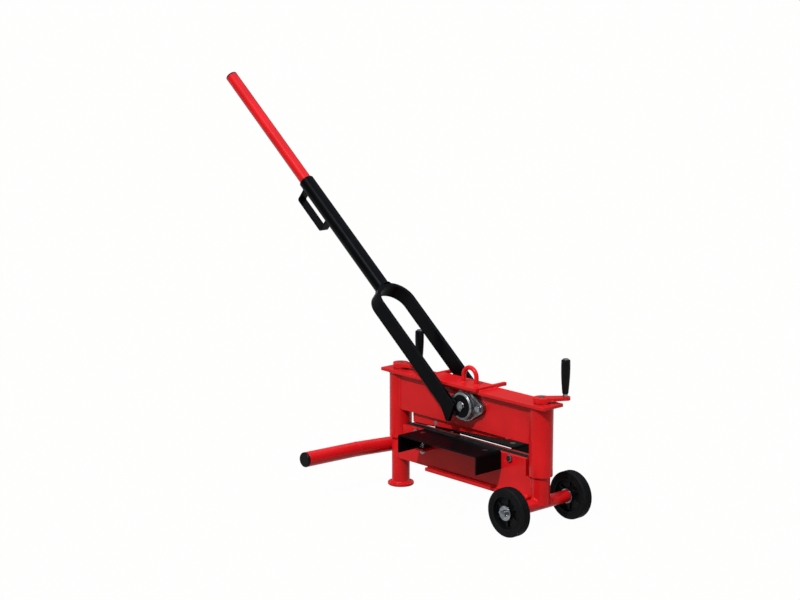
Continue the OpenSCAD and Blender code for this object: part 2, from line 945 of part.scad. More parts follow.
module tyre(side) {
    half = wheel_w / 2;
    color(rubber)
        wheel_at(side)
            rotate_extrude($fn = 128)
                difference() {
                    translate([hub_d / 2, -half])
                        intersection() {
                            translate([-tyre_shoulder_r, 0])
                                round_rect(wheel_d / 2 - hub_d / 2 + tyre_shoulder_r, wheel_w, tyre_shoulder_r);
                            square([wheel_d / 2 - hub_d / 2, wheel_w]);
                        }
                    for (k = [-1, 0, 1])
                        translate([wheel_d / 2 - groove_depth, k * wheel_w / 4 - groove_w / 2])
                            square([groove_depth + overrun, groove_w]);
                }
}

// One pocket between two spokes, cut by the boss and the rim
module pocket(r0, r1) {
    half_turn = 180 / hub_pockets;
    intersection() {
        difference() {
            circle(r1);
            circle(r0);
        }
        translate([spoke_w / 2 / sin(half_turn), 0])
            polygon([
                [0, 0],
                [2 * r1 * cos(half_turn), 2 * r1 * sin(half_turn)],
                [2 * r1 * cos(half_turn), -2 * r1 * sin(half_turn)]
            ]);
    }
}

module wheel_hub(side) {
    half = wheel_w / 2;
    boss_out = half - boss_inset;
    rim_r = hub_d / 2 - hub_rim_t;
    // Draft between the rim's lip and the web
    lip = hub_rim_t / 2;
    color(plastic)
        wheel_at(side)
            difference() {
                rotate_extrude()
                    polygon([
                        [axle_bore / 2, -half],
                        [hub_boss_d / 2, -half],
                        [hub_boss_d / 2, -hub_web_t / 2],
                        [rim_r, -hub_web_t / 2],
                        [rim_r + lip, -half],
                        [hub_d / 2, -half],
                        [hub_d / 2, half],
                        [rim_r + lip, half],
                        [rim_r, hub_web_t / 2],
                        [hub_boss_d / 2, hub_web_t / 2],
                        [hub_boss_d / 2, boss_out],
                        [axle_bore / 2, boss_out]
                    ]);
                for (face = [-1, 1], k = [0 : hub_pockets - 1])
                    rotate([0, 0, 360 * k / hub_pockets])
                        translate([0, 0, face > 0 ? hub_web_t / 2 - pocket_depth : -hub_web_t / 2 - overrun])
                            linear_extrude(pocket_depth + overrun)
                                pocket(hub_boss_d / 2 + hub_rim_t / 2, rim_r - hub_rim_t / 2);
            }
}

module front_tyre() {
    tyre(-1);
}

module front_wheel_hub() {
    wheel_hub(-1);
}

module rear_tyre() {
    tyre(1);
}

module rear_wheel_hub() {
    wheel_hub(1);
}

// Upper frame

module sleeve(x) {
    color(paint_red)
        translate([x, 0, 0])
            tube_z(sleeve_d, sleeve_bore, sleeve_bottom, top_plate_z);
}

module left_sleeve() {
    sleeve(post_xs[0]);
}

module right_sleeve() {
    sleeve(post_xs[1]);
}

module top_plate() {
    color(paint_red)
        difference() {
            translate([-top_plate_over, -top_plate_w / 2, top_plate_z])
                linear_extrude(top_plate_t)
                    round_rect(post_pitch + 2 * top_plate_over, top_plate_w, plate_corner_r);
            for (x = post_xs)
                translate([x, 0, 0])
                    rod_z(spindle_d + 2 * hole_clear, top_plate_z - overrun, top_plate_top + overrun);
        }
}

module upper_plate(side) {
    y0 = side < 0 ? -upper_face : upper_inner;
    color(paint_red)
        difference() {
            translate([0, y0, upper_plate_bottom])
                cube([post_pitch, upper_plate_t, top_plate_z - upper_plate_bottom]);
            post_cuts(sleeve_d);
            translate([shaft_x, 0, shaft_z])
                rod_y(shaft_d + 2 * shaft_hole_gap, y0 - overrun, y0 + upper_plate_t + overrun);
            on_upper_face(side)
                flange_bolt_cuts();
        }
}

module upper_front_plate() {
    upper_plate(-1);
}

module upper_rear_plate() {
    upper_plate(1);
}

module bridge_plate() {
    color(paint_red)
        translate([shaft_x - bridge_left, -bridge_front, top_plate_top])
            cube([bridge_left + bridge_right, bridge_front + bridge_rear, bridge_t]);
}

module lever_stops() {
    color(paint_red)
        for (x = [stop_left_x, stop_right_x])
            translate([x, -bridge_front, top_plate_top])
                cube([stop_w, bridge_front + stop_rear, stop_top - top_plate_top]);
}

module lifting_eye() {
    arch_z = bridge_top + eye_h - eye_bar_d / 2 - eye_w / 2;
    color(paint_red)
        translate([shaft_x - eye_left, -eye_front, 0]) {
            for (side = [-1, 1])
                translate([side * eye_w / 2, 0, 0])
                    rod_z(eye_bar_d, bridge_top, arch_z);
            translate([0, 0, arch_z])
                rotate([90, 0, 0])
                    rotate_extrude(angle = 180)
                        translate([eye_w / 2, 0])
                            circle(d = eye_bar_d);
        }
}

// Holes for the bolts of a bearing flange, through the flange and the plate behind it
module flange_bolt_cuts() {
    for (x = [-flange_bolt_x, flange_bolt_x])
        translate([x, 0, 0])
            rod_z(flange_bolt_d, -upper_plate_t - overrun, flange_t + overrun);
}

// The space of the top plate over the bearing housings
module top_plate_space() {
    reach = flange_bolt_x + ear_r + overrun;
    translate([shaft_x - reach, -housing_face - overrun, top_plate_z - face_clear])
        cube([2 * reach, 2 * (housing_face + overrun), housing_r]);
}

// A flange housing, cut flat under the top plate
module bearing_housing(side) {
    color(zinc)
        difference() {
            on_upper_face(side)
                union() {
                    linear_extrude(flange_t)
                        union() {
                            teardrop(housing_r, ear_r, flange_bolt_x);
                            mirror([1, 0])
                                teardrop(housing_r, ear_r, flange_bolt_x);
                        }
                    rotate_extrude()
                        polygon([
                            [0, 0],
                            [nose_r, 0],
                            [nose_r, nose_step_h],
                            [nose_r - ridge_w / 2, housing_h],
                            [nose_r - ridge_w, housing_h],
                            [nose_r - ridge_w, nose_step_h],
                            [nose_r - 2 * ridge_w, nose_step_h],
                            [nose_r - 2 * ridge_w, housing_h],
                            [0, housing_h]
                        ]);
                }
            on_upper_face(side) {
                rod_z(bearing_d, -overrun, housing_h + overrun);
                flange_bolt_cuts();
            }
            top_plate_space();
        }
}

module bearing_housings() {
    for (side = [-1, 1])
        bearing_housing(side);
}

module shaft_bearings() {
    color(bronze)
        for (side = [-1, 1])
            on_upper_face(side)
                tube_z(bearing_d, shaft_d + 2 * run_clear, 0, housing_h);
}

module bearing_bolts() {
    color(zinc)
        for (side = [-1, 1], x = [-flange_bolt_x, flange_bolt_x])
            on_upper_face(side)
                translate([x, 0, 0]) {
                    rod_z(flange_bolt_d, -upper_plate_t, flange_t);
                    translate([0, 0, flange_t])
                        hex_head(flange_bolt_head_d, flange_bolt_head_t);
                }
}

module guide_block(x0, x1) {
    color(paint_black)
        difference() {
            translate([x0, -upper_inner, guide_z[0]])
                cube([x1 - x0, 2 * upper_inner, guide_z[1] - guide_z[0]]);
            post_cuts(sleeve_d);
        }
}

module guide_blocks() {
    guide_block(0, guide_left);
    guide_block(post_pitch - guide_right, post_pitch);
}

module thrust_washers() {
    color(zinc)
        for (x = post_xs)
            translate([x, 0, top_plate_top])
                tube_z(thrust_washer_d, spindle_d + 2 * hole_clear, 0, thrust_washer_t);
}

// Lever

module eccentric_shaft() {
    color(steel) {
        translate([shaft_x, 0, shaft_z]) {
            rod_y(shaft_d, -disc_face, disc_face);
            rod_y(shaft_end_d, -shaft_half, shaft_half);
        }
        translate([journal_x, 0, journal_z])
            rod_y(journal_d, -beam_half_t, beam_half_t);
    }
}

module hub_discs() {
    color(paint_black)
        on_lever()
            for (y = [-fork_half, disc_face])
                difference() {
                    rod_y(2 * disc_r, y, y + disc_t);
                    rod_y(shaft_end_d, y - overrun, y + disc_t + overrun);
                    translate([0, 0, hub_bolt_drop])
                        rod_y(hub_bolt_d, y - overrun, y + disc_t + overrun);
                }
}

module lever_fork() {
    color(paint_black)
        on_lever() {
            for (y = [-arm_face, fork_half])
                slab_y(y, y + arm_t)
                    polygon([
                        [fork_l, arm_near],
                        [arm_heel, arm_near],
                        [0, toe_out - toe_w],
                        [toe_w, toe_out],
                        [arm_flare, arm_far],
                        [fork_l, arm_far]
                    ]);
            translate([fork_l, 0, arm_near])
                rotate([0, 0, -90])
                    rotate_extrude(angle = 180)
                        translate([fork_half, 0])
                            square([arm_t, arm_w]);
        }
}

// A round bar along the lever's centre line
module rod_lever(d, s0, s1) {
    translate([s0, 0, lever_drop])
        rotate([0, 90, 0])
            cylinder(h = s1 - s0, d = d);
}

module lever_tube() {
    color(paint_black)
        on_lever()
            difference() {
                rod_lever(lever_tube_d, fork_l + fork_half, lever_tube_end);
                rod_lever(lever_bore, fork_l, lever_tube_end + overrun);
                translate([fork_l, 0, 0])
                    rod_z(2 * bend_r, arm_near - overrun, arm_far + overrun);
            }
}

module strap_grip() {
    s0 = lever_tube_end - strap_below - strap_l;
    h = lever_tube_d / 2 + strap_out;
    color(paint_black)
        on_lever()
            difference() {
                slab_y(-strap_w / 2, strap_w / 2)
                    translate([s0, lever_drop])
                        difference() {
                            arch_rect(strap_l, h, strap_r);
                            translate([strap_t, -overrun])
                                arch_rect(strap_l - 2 * strap_t, h - strap_t + overrun, strap_r - strap_t);
                        }
                rod_lever(lever_tube_d, s0 - overrun, s0 + strap_l + overrun);
            }
}

// A ring with a wide gap, standing on z = 0
module retaining_ring() {
    difference() {
        tube_z(ring_d, shaft_end_d, 0, ring_t);
        translate([-ring_d, -ring_gap / 2, -overrun])
            cube([ring_d, ring_gap, ring_t + 2 * overrun]);
    }
}

module hub_fasteners() {
    color(zinc)
        on_lever()
            for (side = [-1, 1])
                translate([0, side * fork_half, 0])
                    rotate([-90 * side, 0, 0]) {
                        retaining_ring();
                        translate([0, -side * hub_bolt_drop, 0]) {
                            rod_z(hub_bolt_d, -disc_t, 0);
                            hex_head(hub_bolt_head_d, hub_bolt_head_t);
                        }
                    }
}

module extension_bar() {
    color(paint_red)
        on_lever()
            difference() {
                rod_lever(extension_d, extension_start, extension_end - plug_t);
                rod_lever(extension_bore, extension_start - overrun, extension_end);
            }
}

module extension_plug() {
    color(plastic)
        on_lever() {
            rod_lever(extension_d, extension_end - plug_t, extension_end);
            rod_lever(extension_bore, extension_end - plug_t - plug_spigot_l, extension_end - plug_t);
        }
}

// Yoke and blade beam

module yoke_bush() {
    color(bronze)
        translate([bush_x, 0, bush_z])
            difference() {
                rod_y(bush_d, -beam_half_t, beam_half_t);
                for (side = [-1, 1])
                    translate([side * slot_half, 0, 0])
                        rod_y(slot_d, -beam_half_t - overrun, beam_half_t + overrun);
                translate([-slot_half, -beam_half_t - overrun, -slot_d / 2])
                    cube([2 * slot_half, beam_t + 2 * overrun, slot_d]);
            }
}

// The point where a line from a shoulder of the hump touches the middle of the beam eye's wall
function hump_touch() =
    let (r = beam_eye_r - beam_eye_wall / 2, l = norm([hump_half_w, beam_high]))
    let (a = atan2(beam_high, hump_half_w) + acos(r / l))
    r * [cos(a), sin(a)];

module upper_bolt_cuts() {
    for (x = upper_bolt_xs)
        translate([x, 0, upper_bolt_z]) {
            rod_y(upper_bolt_d, -beam_half_t - overrun, beam_half_t + overrun);
            rod_y(upper_bolt_head_d, -beam_half_t - overrun, upper_bolt_head_t - beam_half_t);
        }
}

module blade_beam() {
    touch = hump_touch();
    color(paint_red)
        on_beam()
            difference() {
                union() {
                    slab_y(-beam_half_t, beam_half_t)
                        polygon([
                            [-beam_left, beam_low],
                            [beam_right, beam_low],
                            [beam_right, beam_high],
                            [hump_half_w, beam_high],
                            touch,
                            [-touch[0], touch[1]],
                            [-hump_half_w, beam_high],
                            [-beam_left, beam_high]
                        ]);
                    rod_y(2 * beam_eye_r, -beam_half_t, beam_half_t);
                }
                rod_y(beam_bore, -beam_half_t - overrun, beam_half_t + overrun);
                translate([-beam_left - overrun, -tongue_w / 2, beam_low - overrun])
                    cube([beam_left + beam_right + 2 * overrun, tongue_w, tongue_h + overrun]);
                upper_bolt_cuts();
            }
}

module upper_blade() {
    half = upper_blade_w / 2;
    color(steel)
        on_beam()
            difference() {
                translate([-beam_left, 0, 0])
                    rotate([90, 0, 90])
                        linear_extrude(beam_left + beam_right)
                            polygon([
                                [-blade_flat / 2, beam_low - upper_blade_h],
                                [blade_flat / 2, beam_low - upper_blade_h],
                                [half, beam_low],
                                [tongue_w / 2, beam_low],
                                [tongue_w / 2, beam_low + tongue_h],
                                [-tongue_w / 2, beam_low + tongue_h],
                                [-tongue_w / 2, beam_low],
                                [-half, beam_low]
                            ]);
                upper_bolt_cuts();
            }
}

module upper_blade_bolts() {
    color(zinc)
        on_beam()
            for (x = upper_bolt_xs)
                translate([x, 0, upper_bolt_z]) {
                    rod_y(upper_bolt_d, -beam_half_t, beam_half_t);
                    rod_y(upper_bolt_head_d, -beam_half_t, upper_bolt_head_t - beam_half_t);
                }
}

// Height cranks

module crank_arm(x, turn) {
    color(paint_red)
        on_crank(x, turn)
            difference() {
                union() {
                    rod_z(crank_hub_d, crank_hub_z, crank_top + crank_hub_rise);
                    translate([0, 0, crank_arm_z])
                        linear_extrude(crank_arm_t)
                            polygon([
                                [0, crank_hub_d / 2 - crank_root_in],
                                [0, crank_root_in - crank_hub_d / 2],
                                [crank_r, crank_side_in - crank_end_r],
                                [crank_r, crank_end_r - crank_side_in]
                            ]);
                    translate([crank_r, 0, 0])
                        rod_z(2 * crank_end_r, crank_arm_z, crank_top);
                }
                rod_z(spindle_d, crank_hub_z - overrun, crank_top + crank_hub_rise + overrun);
                translate([crank_r, 0, 0])
                    rod_z(stud_d, crank_arm_z - overrun, crank_top + overrun);
            }
}

module spindle(x) {
    color(steel)
        translate([x, 0, 0]) {
            rod_z(spindle_d, spindle_bottom, crank_top + spindle_end_h);
            rod_z(collar_d, collar_z, collar_z + collar_t);
        }
}

module grip_stud(x, turn) {
    color(zinc)
        on_crank(x, turn)
            translate([crank_r, 0, 0]) {
                rod_z(stud_d, crank_arm_z, grip_top + face_clear);
                rod_z(stud_collar_d, crank_top, grip_z - face_clear);
                rod_z(stud_head_d, grip_top + face_clear, grip_top + face_clear + stud_head_t);
            }
}

module grip(x, turn) {
    belly_z = grip_belly_share * grip_l;
    low = grip_low_d / 2;
    high = grip_d / 2;
    bore_r = stud_d / 2 + run_clear;
    color(plastic)
        on_crank(x, turn)
            translate([crank_r, 0, grip_z])
                rotate_extrude()
                    difference() {
                        union() {
                            polygon([
                                [0, 0],
                                [low - grip_round_r / 2, 0],
                                [low, grip_round_r / 2],
                                [high, belly_z],
                                [high, grip_l - grip_round_r],
                                [high - grip_round_r, grip_l - grip_round_r],
                                [high - grip_round_r, grip_l],
                                [0, grip_l]
                            ]);
                            translate([high - grip_round_r, grip_l - grip_round_r])
                                circle(grip_round_r);
                        }
                        translate([-bore_r, -overrun])
                            square([2 * bore_r, grip_l + 2 * overrun]);
                    }
}

module left_crank_arm() {
    crank_arm(post_xs[0], left_crank_turn);
}

module left_spindle() {
    spindle(post_xs[0]);
}

module left_grip_stud() {
    grip_stud(post_xs[0], left_crank_turn);
}

module right_crank_arm() {
    crank_arm(post_xs[1], right_crank_turn);
}

module right_spindle() {
    spindle(post_xs[1]);
}

module right_grip_stud() {
    grip_stud(post_xs[1], right_crank_turn);
}

module left_grip() {
    grip(post_xs[0], left_crank_turn);
}

module right_grip() {
    grip(post_xs[1], right_crank_turn);
}

// Tables

module table_plate(side) {
    inside_r = table_bend_r - table_t;
    color(paint_black)
        on_side(side)
            difference() {
                slab_y(table_front_y, table_rear_y)
                    translate([table_left, table_top - table_flange])
                        difference() {
                            arch_rect(table_l, table_flange, table_bend_r);
                            translate([table_t, -overrun])
                                arch_rect(table_l - 2 * table_t, table_flange - table_t + overrun, inside_r);
                        }
                for (x = table_bolt_xs)
                    translate([x, table_bolt_y, 0]) {
                        rod_z(table_bolt_d, table_under - overrun, table_top + overrun);
                        rod_z(table_bolt_head_d, table_top - table_head_share * table_t, table_top + overrun);
                    }
            }
}

module table_bolts(side) {
    color(zinc)
        on_side(side)
            for (x = table_bolt_xs)
                translate([x, table_bolt_y, 0]) {
                    rod_z(table_bolt_d, table_nut_z - table_bolt_end, table_top);
                    rod_z(table_bolt_head_d, table_top - table_head_share * table_t, table_top);
                    translate([0, 0, table_nut_z])
                        hex_head(table_nut_d, table_nut_t);
                }
}

module front_table_plate() {
    table_plate(-1);
}

module front_table_bolts() {
    table_bolts(-1);
}

module rear_table_plate() {
    table_plate(1);
}

module rear_table_bolts() {
    table_bolts(1);
}

left_post();
foot_flange();
right_post();
axle_tube();
lower_front_plate();
lower_rear_plate();
bottom_plate();
lower_blade();
lower_blade_bolts();
spindle_nuts();
handle_stub();
handle_tube();
handle_cap();
axle_rod();
axle_washers();
split_pins();
table_brackets();
front_table_springs();
rear_table_springs();
front_tyre();
front_wheel_hub();
rear_tyre();
rear_wheel_hub();
left_sleeve();
right_sleeve();
top_plate();
upper_front_plate();
upper_rear_plate();
bridge_plate();
lever_stops();
lifting_eye();
bearing_housings();
shaft_bearings();
bearing_bolts();
guide_blocks();
thrust_washers();
eccentric_shaft();
hub_discs();
lever_fork();
lever_tube();
strap_grip();
hub_fasteners();
extension_bar();
extension_plug();
yoke_bush();
blade_beam();
upper_blade();
upper_blade_bolts();
left_crank_arm();
left_spindle();
left_grip_stud();
right_crank_arm();
right_spindle();
right_grip_stud();
left_grip();
right_grip();
front_table_plate();
front_table_bolts();
rear_table_plate();
rear_table_bolts();
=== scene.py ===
"""Dressed scene of a hand-lever masonry block splitter.

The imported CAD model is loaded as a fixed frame, every CAD node gets its finish, and the pieces that a
plain solid can't show (weld beads, bolt heads, tyres, grips, springs, split pins) are worked out as
numpy surfaces in the same frame. Sizes in the classes are millimetres, and meshes are in metres.
"""

from __future__ import annotations

import json
import logging
import math
from dataclasses import dataclass
from enum import Enum

import bpy
import numpy as np
from mathutils import Matrix, Vector


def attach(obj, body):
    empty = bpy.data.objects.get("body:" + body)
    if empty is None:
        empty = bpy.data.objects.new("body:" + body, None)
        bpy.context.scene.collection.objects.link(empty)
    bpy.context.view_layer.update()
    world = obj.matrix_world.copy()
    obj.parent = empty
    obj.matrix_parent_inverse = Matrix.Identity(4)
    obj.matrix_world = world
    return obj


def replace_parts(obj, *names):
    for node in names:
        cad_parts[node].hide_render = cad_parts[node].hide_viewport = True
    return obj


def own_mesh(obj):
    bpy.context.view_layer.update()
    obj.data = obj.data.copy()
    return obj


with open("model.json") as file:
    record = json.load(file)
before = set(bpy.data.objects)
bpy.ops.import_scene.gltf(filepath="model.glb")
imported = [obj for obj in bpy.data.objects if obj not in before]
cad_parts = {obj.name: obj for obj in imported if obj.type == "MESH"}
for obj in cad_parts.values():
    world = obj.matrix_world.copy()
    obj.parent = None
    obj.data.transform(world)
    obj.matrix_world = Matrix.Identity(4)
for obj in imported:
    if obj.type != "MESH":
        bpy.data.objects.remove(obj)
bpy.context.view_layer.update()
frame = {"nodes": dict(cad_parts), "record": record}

LOG = logging.getLogger("block_splitter")
MM = 0.001
TAU = 2.0 * math.pi
UP, DOWN = (0.0, 0.0, 1.0), (0.0, 0.0, -1.0)
# The two ways along an axis; along Y these are the front and the rear of the machine
SIDES = (-1, 1)
# Edges that turn by more than this many degrees stay sharp, on most pieces and on weld beads
SHARP, WELD_SHARP = 34.0, 50.0

Socket = bpy.types.NodeSocket
Tree = bpy.types.NodeTree
Pair = tuple[float, float]
Triple = tuple[float, float, float]


class Body(Enum):
    """The CAD bodies that new pieces ride on."""

    BASE = "base"
    UPPER_FRAME = "upper_frame"
    LEVER = "lever"
    FRONT_WHEEL = "front_wheel"
    REAR_WHEEL = "rear_wheel"
    LEFT_GRIP = "left_hand_grip"
    RIGHT_GRIP = "right_hand_grip"


class Slot(Enum):
    """The record's material slots."""

    RED_PAINT = "red_paint"
    BLACK_PAINT = "black_paint"
    ZINC = "zinc"
    CAST_ZINC = "cast_zinc"
    BRIGHT_STEEL = "bright_steel"
    BLADE_STEEL = "blade_steel"
    BRONZE = "bronze"
    BLACK_RUBBER = "black_rubber"
    BLACK_PLASTIC = "black_plastic"


# Node and colour helpers


def linear(code: str) -> tuple[float, float, float, float]:
    """Turns an sRGB hex colour into linear RGBA.

    Args:
        code: Six hex digits, with or without a leading hash.

    Returns:
        Linear red, green, blue and an alpha of 1.
    """
    text = code.lstrip("#")
    srgb = np.array([int(text[i : i + 2], 16) for i in (0, 2, 4)]) / 255.0
    low, high = srgb / 12.92, ((srgb + 0.055) / 1.055) ** 2.4
    red, green, blue = np.where(srgb <= 0.04045, low, high)
    return float(red), float(green), float(blue), 1.0


def per_mm(size: float) -> float:
    """The texture scale at which one feature of a pattern is this many millimetres wide."""
    return 1.0 / (size * MM)


def add_node(tree: Tree, kind: str, inputs: dict | None = None, **settings) -> bpy.types.Node:
    """Adds one node, sets its properties, and fills or links its inputs.

    Args:
        tree: The node tree that gets the node.
        kind: The node's Blender type name.
        inputs: Socket name or index to a value, or to the output socket that feeds it.
        **settings: Properties of the node itself.

    Returns:
        The new node.
    """
    made = tree.nodes.new(kind)
    for key, value in settings.items():
        setattr(made, key, value)
    for key, value in (inputs or {}).items():
        if isinstance(value, Socket):
            tree.links.new(value, made.inputs[key])
        else:
            made.inputs[key].default_value = value
    return made


def empty_tree(owner: bpy.types.Material | bpy.types.World) -> Tree:
    """Switches a material or a world to nodes and returns its emptied tree."""
    owner.use_nodes = True
    owner.node_tree.nodes.clear()
    return owner.node_tree


@dataclass(frozen=True)
class Steps:
    """The steps that node trees share; place is the socket of the coordinates, if they are used."""

    tree: Tree
    place: Socket | None = None

    def noise(
        self, size: float, detail: float, rough: float = 0.5, lay: Triple | None = None
    ) -> Socket:
        """Cloudy noise.

        Args:
            size: Width of one feature in millimetres.
            detail: Number of finer layers.
            rough: Weight of each finer layer.
            lay: Factors on X, Y and Z, where below 1 draws the noise out along that axis.

        Returns:
            A socket from 0 to 1.
        """
        place = self.place
        if lay is not None:
            laid = add_node(self.tree, "ShaderNodeMapping", {"Vector": place, "Scale": lay})
            place = laid.outputs["Vector"]
        inputs = {"Vector": place, "Scale": per_mm(size), "Detail": detail, "Roughness": rough}
        return add_node(self.tree, "ShaderNodeTexNoise", inputs).outputs["Fac"]

    def spread(
        self, value: Socket, band: Pair = (0.0, 1.0), low: float = 0.0, high: float = 1.0
    ) -> Socket:
        """Maps a band of values to the range from low to high, and holds it beyond the band.

        Args:
            value: The value.
            band: The values that give low and high.
            low: Result at the band's start.
            high: Result at the band's end.

        Returns:
            The mapped value.
        """
        inputs = {"Value": value, "To Min": low, "To Max": high}
        inputs["From Min"], inputs["From Max"] = band
        return add_node(self.tree, "ShaderNodeMapRange", inputs, clamp=True).outputs["Result"]

    def mix(self, share: Socket, one: str | Socket, other: str | Socket) -> Socket:
        """Goes from one colour to another.

        Args:
            share: 0 for the first colour and 1 for the second.
            one: First colour, a hex code or a socket.
            other: Second colour.

        Returns:
            The mixed colour.
        """
        first, last = (linear(tone) if isinstance(tone, str) else tone for tone in (one, other))
        inputs = {0: share, 6: first, 7: last}
        return add_node(self.tree, "ShaderNodeMix", inputs, data_type="RGBA").outputs[2]

    def sum_up(self, operation: str, one: Socket, other: Socket | float) -> Socket:
        """The result of a Math node's operation on two values."""
        inputs = {0: one, 1: other}
        return add_node(self.tree, "ShaderNodeMath", inputs, operation=operation).outputs["Value"]

    def edges(self, radius: float) -> Socket:
        """Marks outer and inner edges: how far a rounded normal leaves the true one.

        Args:
            radius: Width of an edge in millimetres.

        Returns:
            A socket that is 0 on open faces and rises to 1 on edges.
        """
        rounded = add_node(self.tree, "ShaderNodeBevel", {"Radius": radius * MM}, samples=4)
        plain = add_node(self.tree, "ShaderNodeNewGeometry")
        normals = {0: rounded.outputs["Normal"], 1: plain.outputs["Normal"]}
        turn = add_node(self.tree, "ShaderNodeVectorMath", normals, operation="DOT_PRODUCT")
        return self.spread(turn.outputs["Value"], (0.99, 0.82))

    def surface(
        self,
        colour: Socket,
        roughness: Socket | float,
        height: Socket,
        relief: Pair,
        specular: float = 0.5,
        metallic: float = 0.0,
    ) -> bpy.types.Node:
        """The surface shader over a bump.

        Args:
            colour: Base colour.
            roughness: Roughness.
            height: Height of the bump, from 0 to 1.
            relief: Strength of the bump and its depth in millimetres.
            specular: Specular level.
            metallic: 1 for bare metal.

        Returns:
            The Principled BSDF node.
        """
        strength, depth = relief
        bump = {"Height": height, "Strength": strength, "Distance": depth * MM}
        inputs = {
            "Base Color": colour,
            "Metallic": metallic,
            "Roughness": roughness,
            "Specular IOR Level": specular,
            "Normal": add_node(self.tree, "ShaderNodeBump", bump).outputs["Normal"],
        }
        return add_node(self.tree, "ShaderNodeBsdfPrincipled", inputs)


# Finishes


@dataclass(frozen=True)
class Finish:
    """What every finish shares: a name, its main colour and roughness, and the start of its tree."""

    name: str
    colour: str
    roughness: float

    def material(self) -> bpy.types.Material:
        """Builds the material once and returns it.

        Returns:
            The Blender material of this finish.
        """
        found = bpy.data.materials.get(self.name)
        if found is not None:
            return found
        made = bpy.data.materials.new(self.name)
        tree = empty_tree(made)
        place = add_node(tree, "ShaderNodeTexCoord").outputs["Object"]
        shader = self.shader(Steps(tree, place))
        add_node(tree, "ShaderNodeOutputMaterial", {"Surface": shader.outputs["BSDF"]})
        made.diffuse_color = linear(self.colour)
        return made

    def shader(self, steps: Steps) -> bpy.types.Node:
        """Builds the surface shader.

        Args:
            steps: The steps in the material's tree, on object coordinates.

        Returns:
            The Principled BSDF node.
        """
        raise NotImplementedError


@dataclass(frozen=True)
class GlossEnamel(Finish):
    """Air-dried gloss enamel sprayed on steel.

    It gives a deep even red with a slight orange peel, a sharp sky reflection, paint that is thinner
    and paler on the edges, where the paler red is also a painted edge highlight, and a few pale rubs
    where the machine is handled.
    """

    deep: str = "#B51115"
    # Paler red on the edges: paint worn thin there, and a painted highlight where edges catch the light
    edge: str = "#D62C28"
    rub: str = "#D88F86"
    patch_mm: float = 85.0
    crumble_mm: float = 9.0
    peel_mm: float = 4.0
    rub_mm: float = 26.0
    edge_mm: float = 1.6
    # Rubs are long one way, so their noise is drawn out along X
    rub_lay: Triple = (0.35, 1.0, 1.6)
    rub_band: Pair = (0.69, 0.78)
    rub_share: float = 0.55
    rub_roughness: float = 0.6
    peel: Pair = (0.12, 0.6)
    specular: float = 0.12

    def shader(self, steps: Steps) -> bpy.types.Node:
        """Mixes two reds in broad patches, pale edges (worn paint and a painted highlight) and rubs,
        over an orange-peel bump.
        """
        patches = steps.spread(steps.noise(self.patch_mm, 3.0), (0.3, 0.7))
        red = steps.mix(patches, self.colour, self.deep)
        crumble = steps.noise(self.crumble_mm, 4.0)
        # Edge mask broken up by crumble, for worn paint and for a painted edge highlight
        thin = steps.sum_up("MULTIPLY", steps.edges(self.edge_mm), crumble)
        red_with_worn_highlit_edges = steps.mix(thin, red, self.edge)
        rubs = steps.noise(self.rub_mm, 6.0, 0.62, self.rub_lay)
        worn = steps.spread(rubs, self.rub_band, high=self.rub_share)
        colour = steps.mix(worn, red_with_worn_highlit_edges, self.rub)
        rough = steps.spread(worn, low=self.roughness, high=self.rub_roughness)
        return steps.surface(colour, rough, steps.noise(self.peel_mm, 1.0), self.peel, self.specular)


@dataclass(frozen=True)
class SatinBlack(Finish):
    """Satin black machine paint on flat bar and tube.

    It gives a near-black with fine dust, a gloss that wanders with it, and grey edges, which are
    rubbed paint and a painted edge highlight.
    """

    dust: str = "#131415"
    # Grey on the edges: rubbed paint, and a painted highlight where edges catch the light
    edge: str = "#26282A"
    dust_mm: float = 30.0
    grain_mm: float = 1.5
    edge_mm: float = 1.2
    dust_band: Pair = (0.45, 0.8)
    dust_share: float = 0.28
    smoother: float = 0.06
    rougher: float = 0.1
    grain: Pair = (0.15, 0.3)
    specular: float = 0.03

    def shader(self, steps: Steps) -> bpy.types.Node:
        """Mixes black with patchy dust and grey edges, rubbed and painted as a highlight, over a fine
        spray grain.
        """
        cloud = steps.noise(self.dust_mm, 6.0, 0.6)
        dusty = steps.spread(cloud, self.dust_band, high=self.dust_share)
        black = steps.mix(dusty, self.colour, self.dust)
        # Grey edges broken up by the dust cloud, for rubbed paint and for a painted edge highlight
        thin = steps.sum_up("MULTIPLY", steps.edges(self.edge_mm), cloud)
        colour = steps.mix(thin, black, self.edge)
        least, most = self.roughness - self.smoother, self.roughness + self.rougher
        rough = steps.spread(cloud, low=least, high=most)
        return steps.surface(colour, rough, steps.noise(self.grain_mm, 2.0), self.grain, self.specular)


@dataclass(frozen=True)
class PlatedMetal(Finish):
    """Bare or plated metal: zinc plate, cast zinc, turned steel or bronze.

    It gives a metal whose tone and gloss wander in patches, with a grain from how it was made: cast
    skin, plating bloom or tool marks.
    """

    dark: str = "#7C8084"
    patch_mm: float = 14.0
    patch_band: Pair = (0.35, 0.68)
    rougher: float = 0.18
    grain_mm: float = 1.2
    grain_strength: float = 0.2
    grain_depth: float = 0.4
    # Stretch of the grain along X, Y and Z: below 1 draws it out along that axis
    lay: Triple = (1.0, 1.0, 1.0)

    def shader(self, steps: Steps) -> bpy.types.Node:
        """Mixes two tones of the metal, and lets the grain bend the normal."""
        share = steps.spread(steps.noise(self.patch_mm, 5.0, 0.6), self.patch_band)
        colour = steps.mix(share, self.colour, self.dark)
        rough = steps.spread(share, low=self.roughness, high=min(self.roughness + self.rougher, 1.0))
        grain = steps.noise(self.grain_mm, 3.0, lay=self.lay)
        relief = (self.grain_strength, self.grain_depth)
        return steps.surface(colour, rough, grain, relief, metallic=1.0)


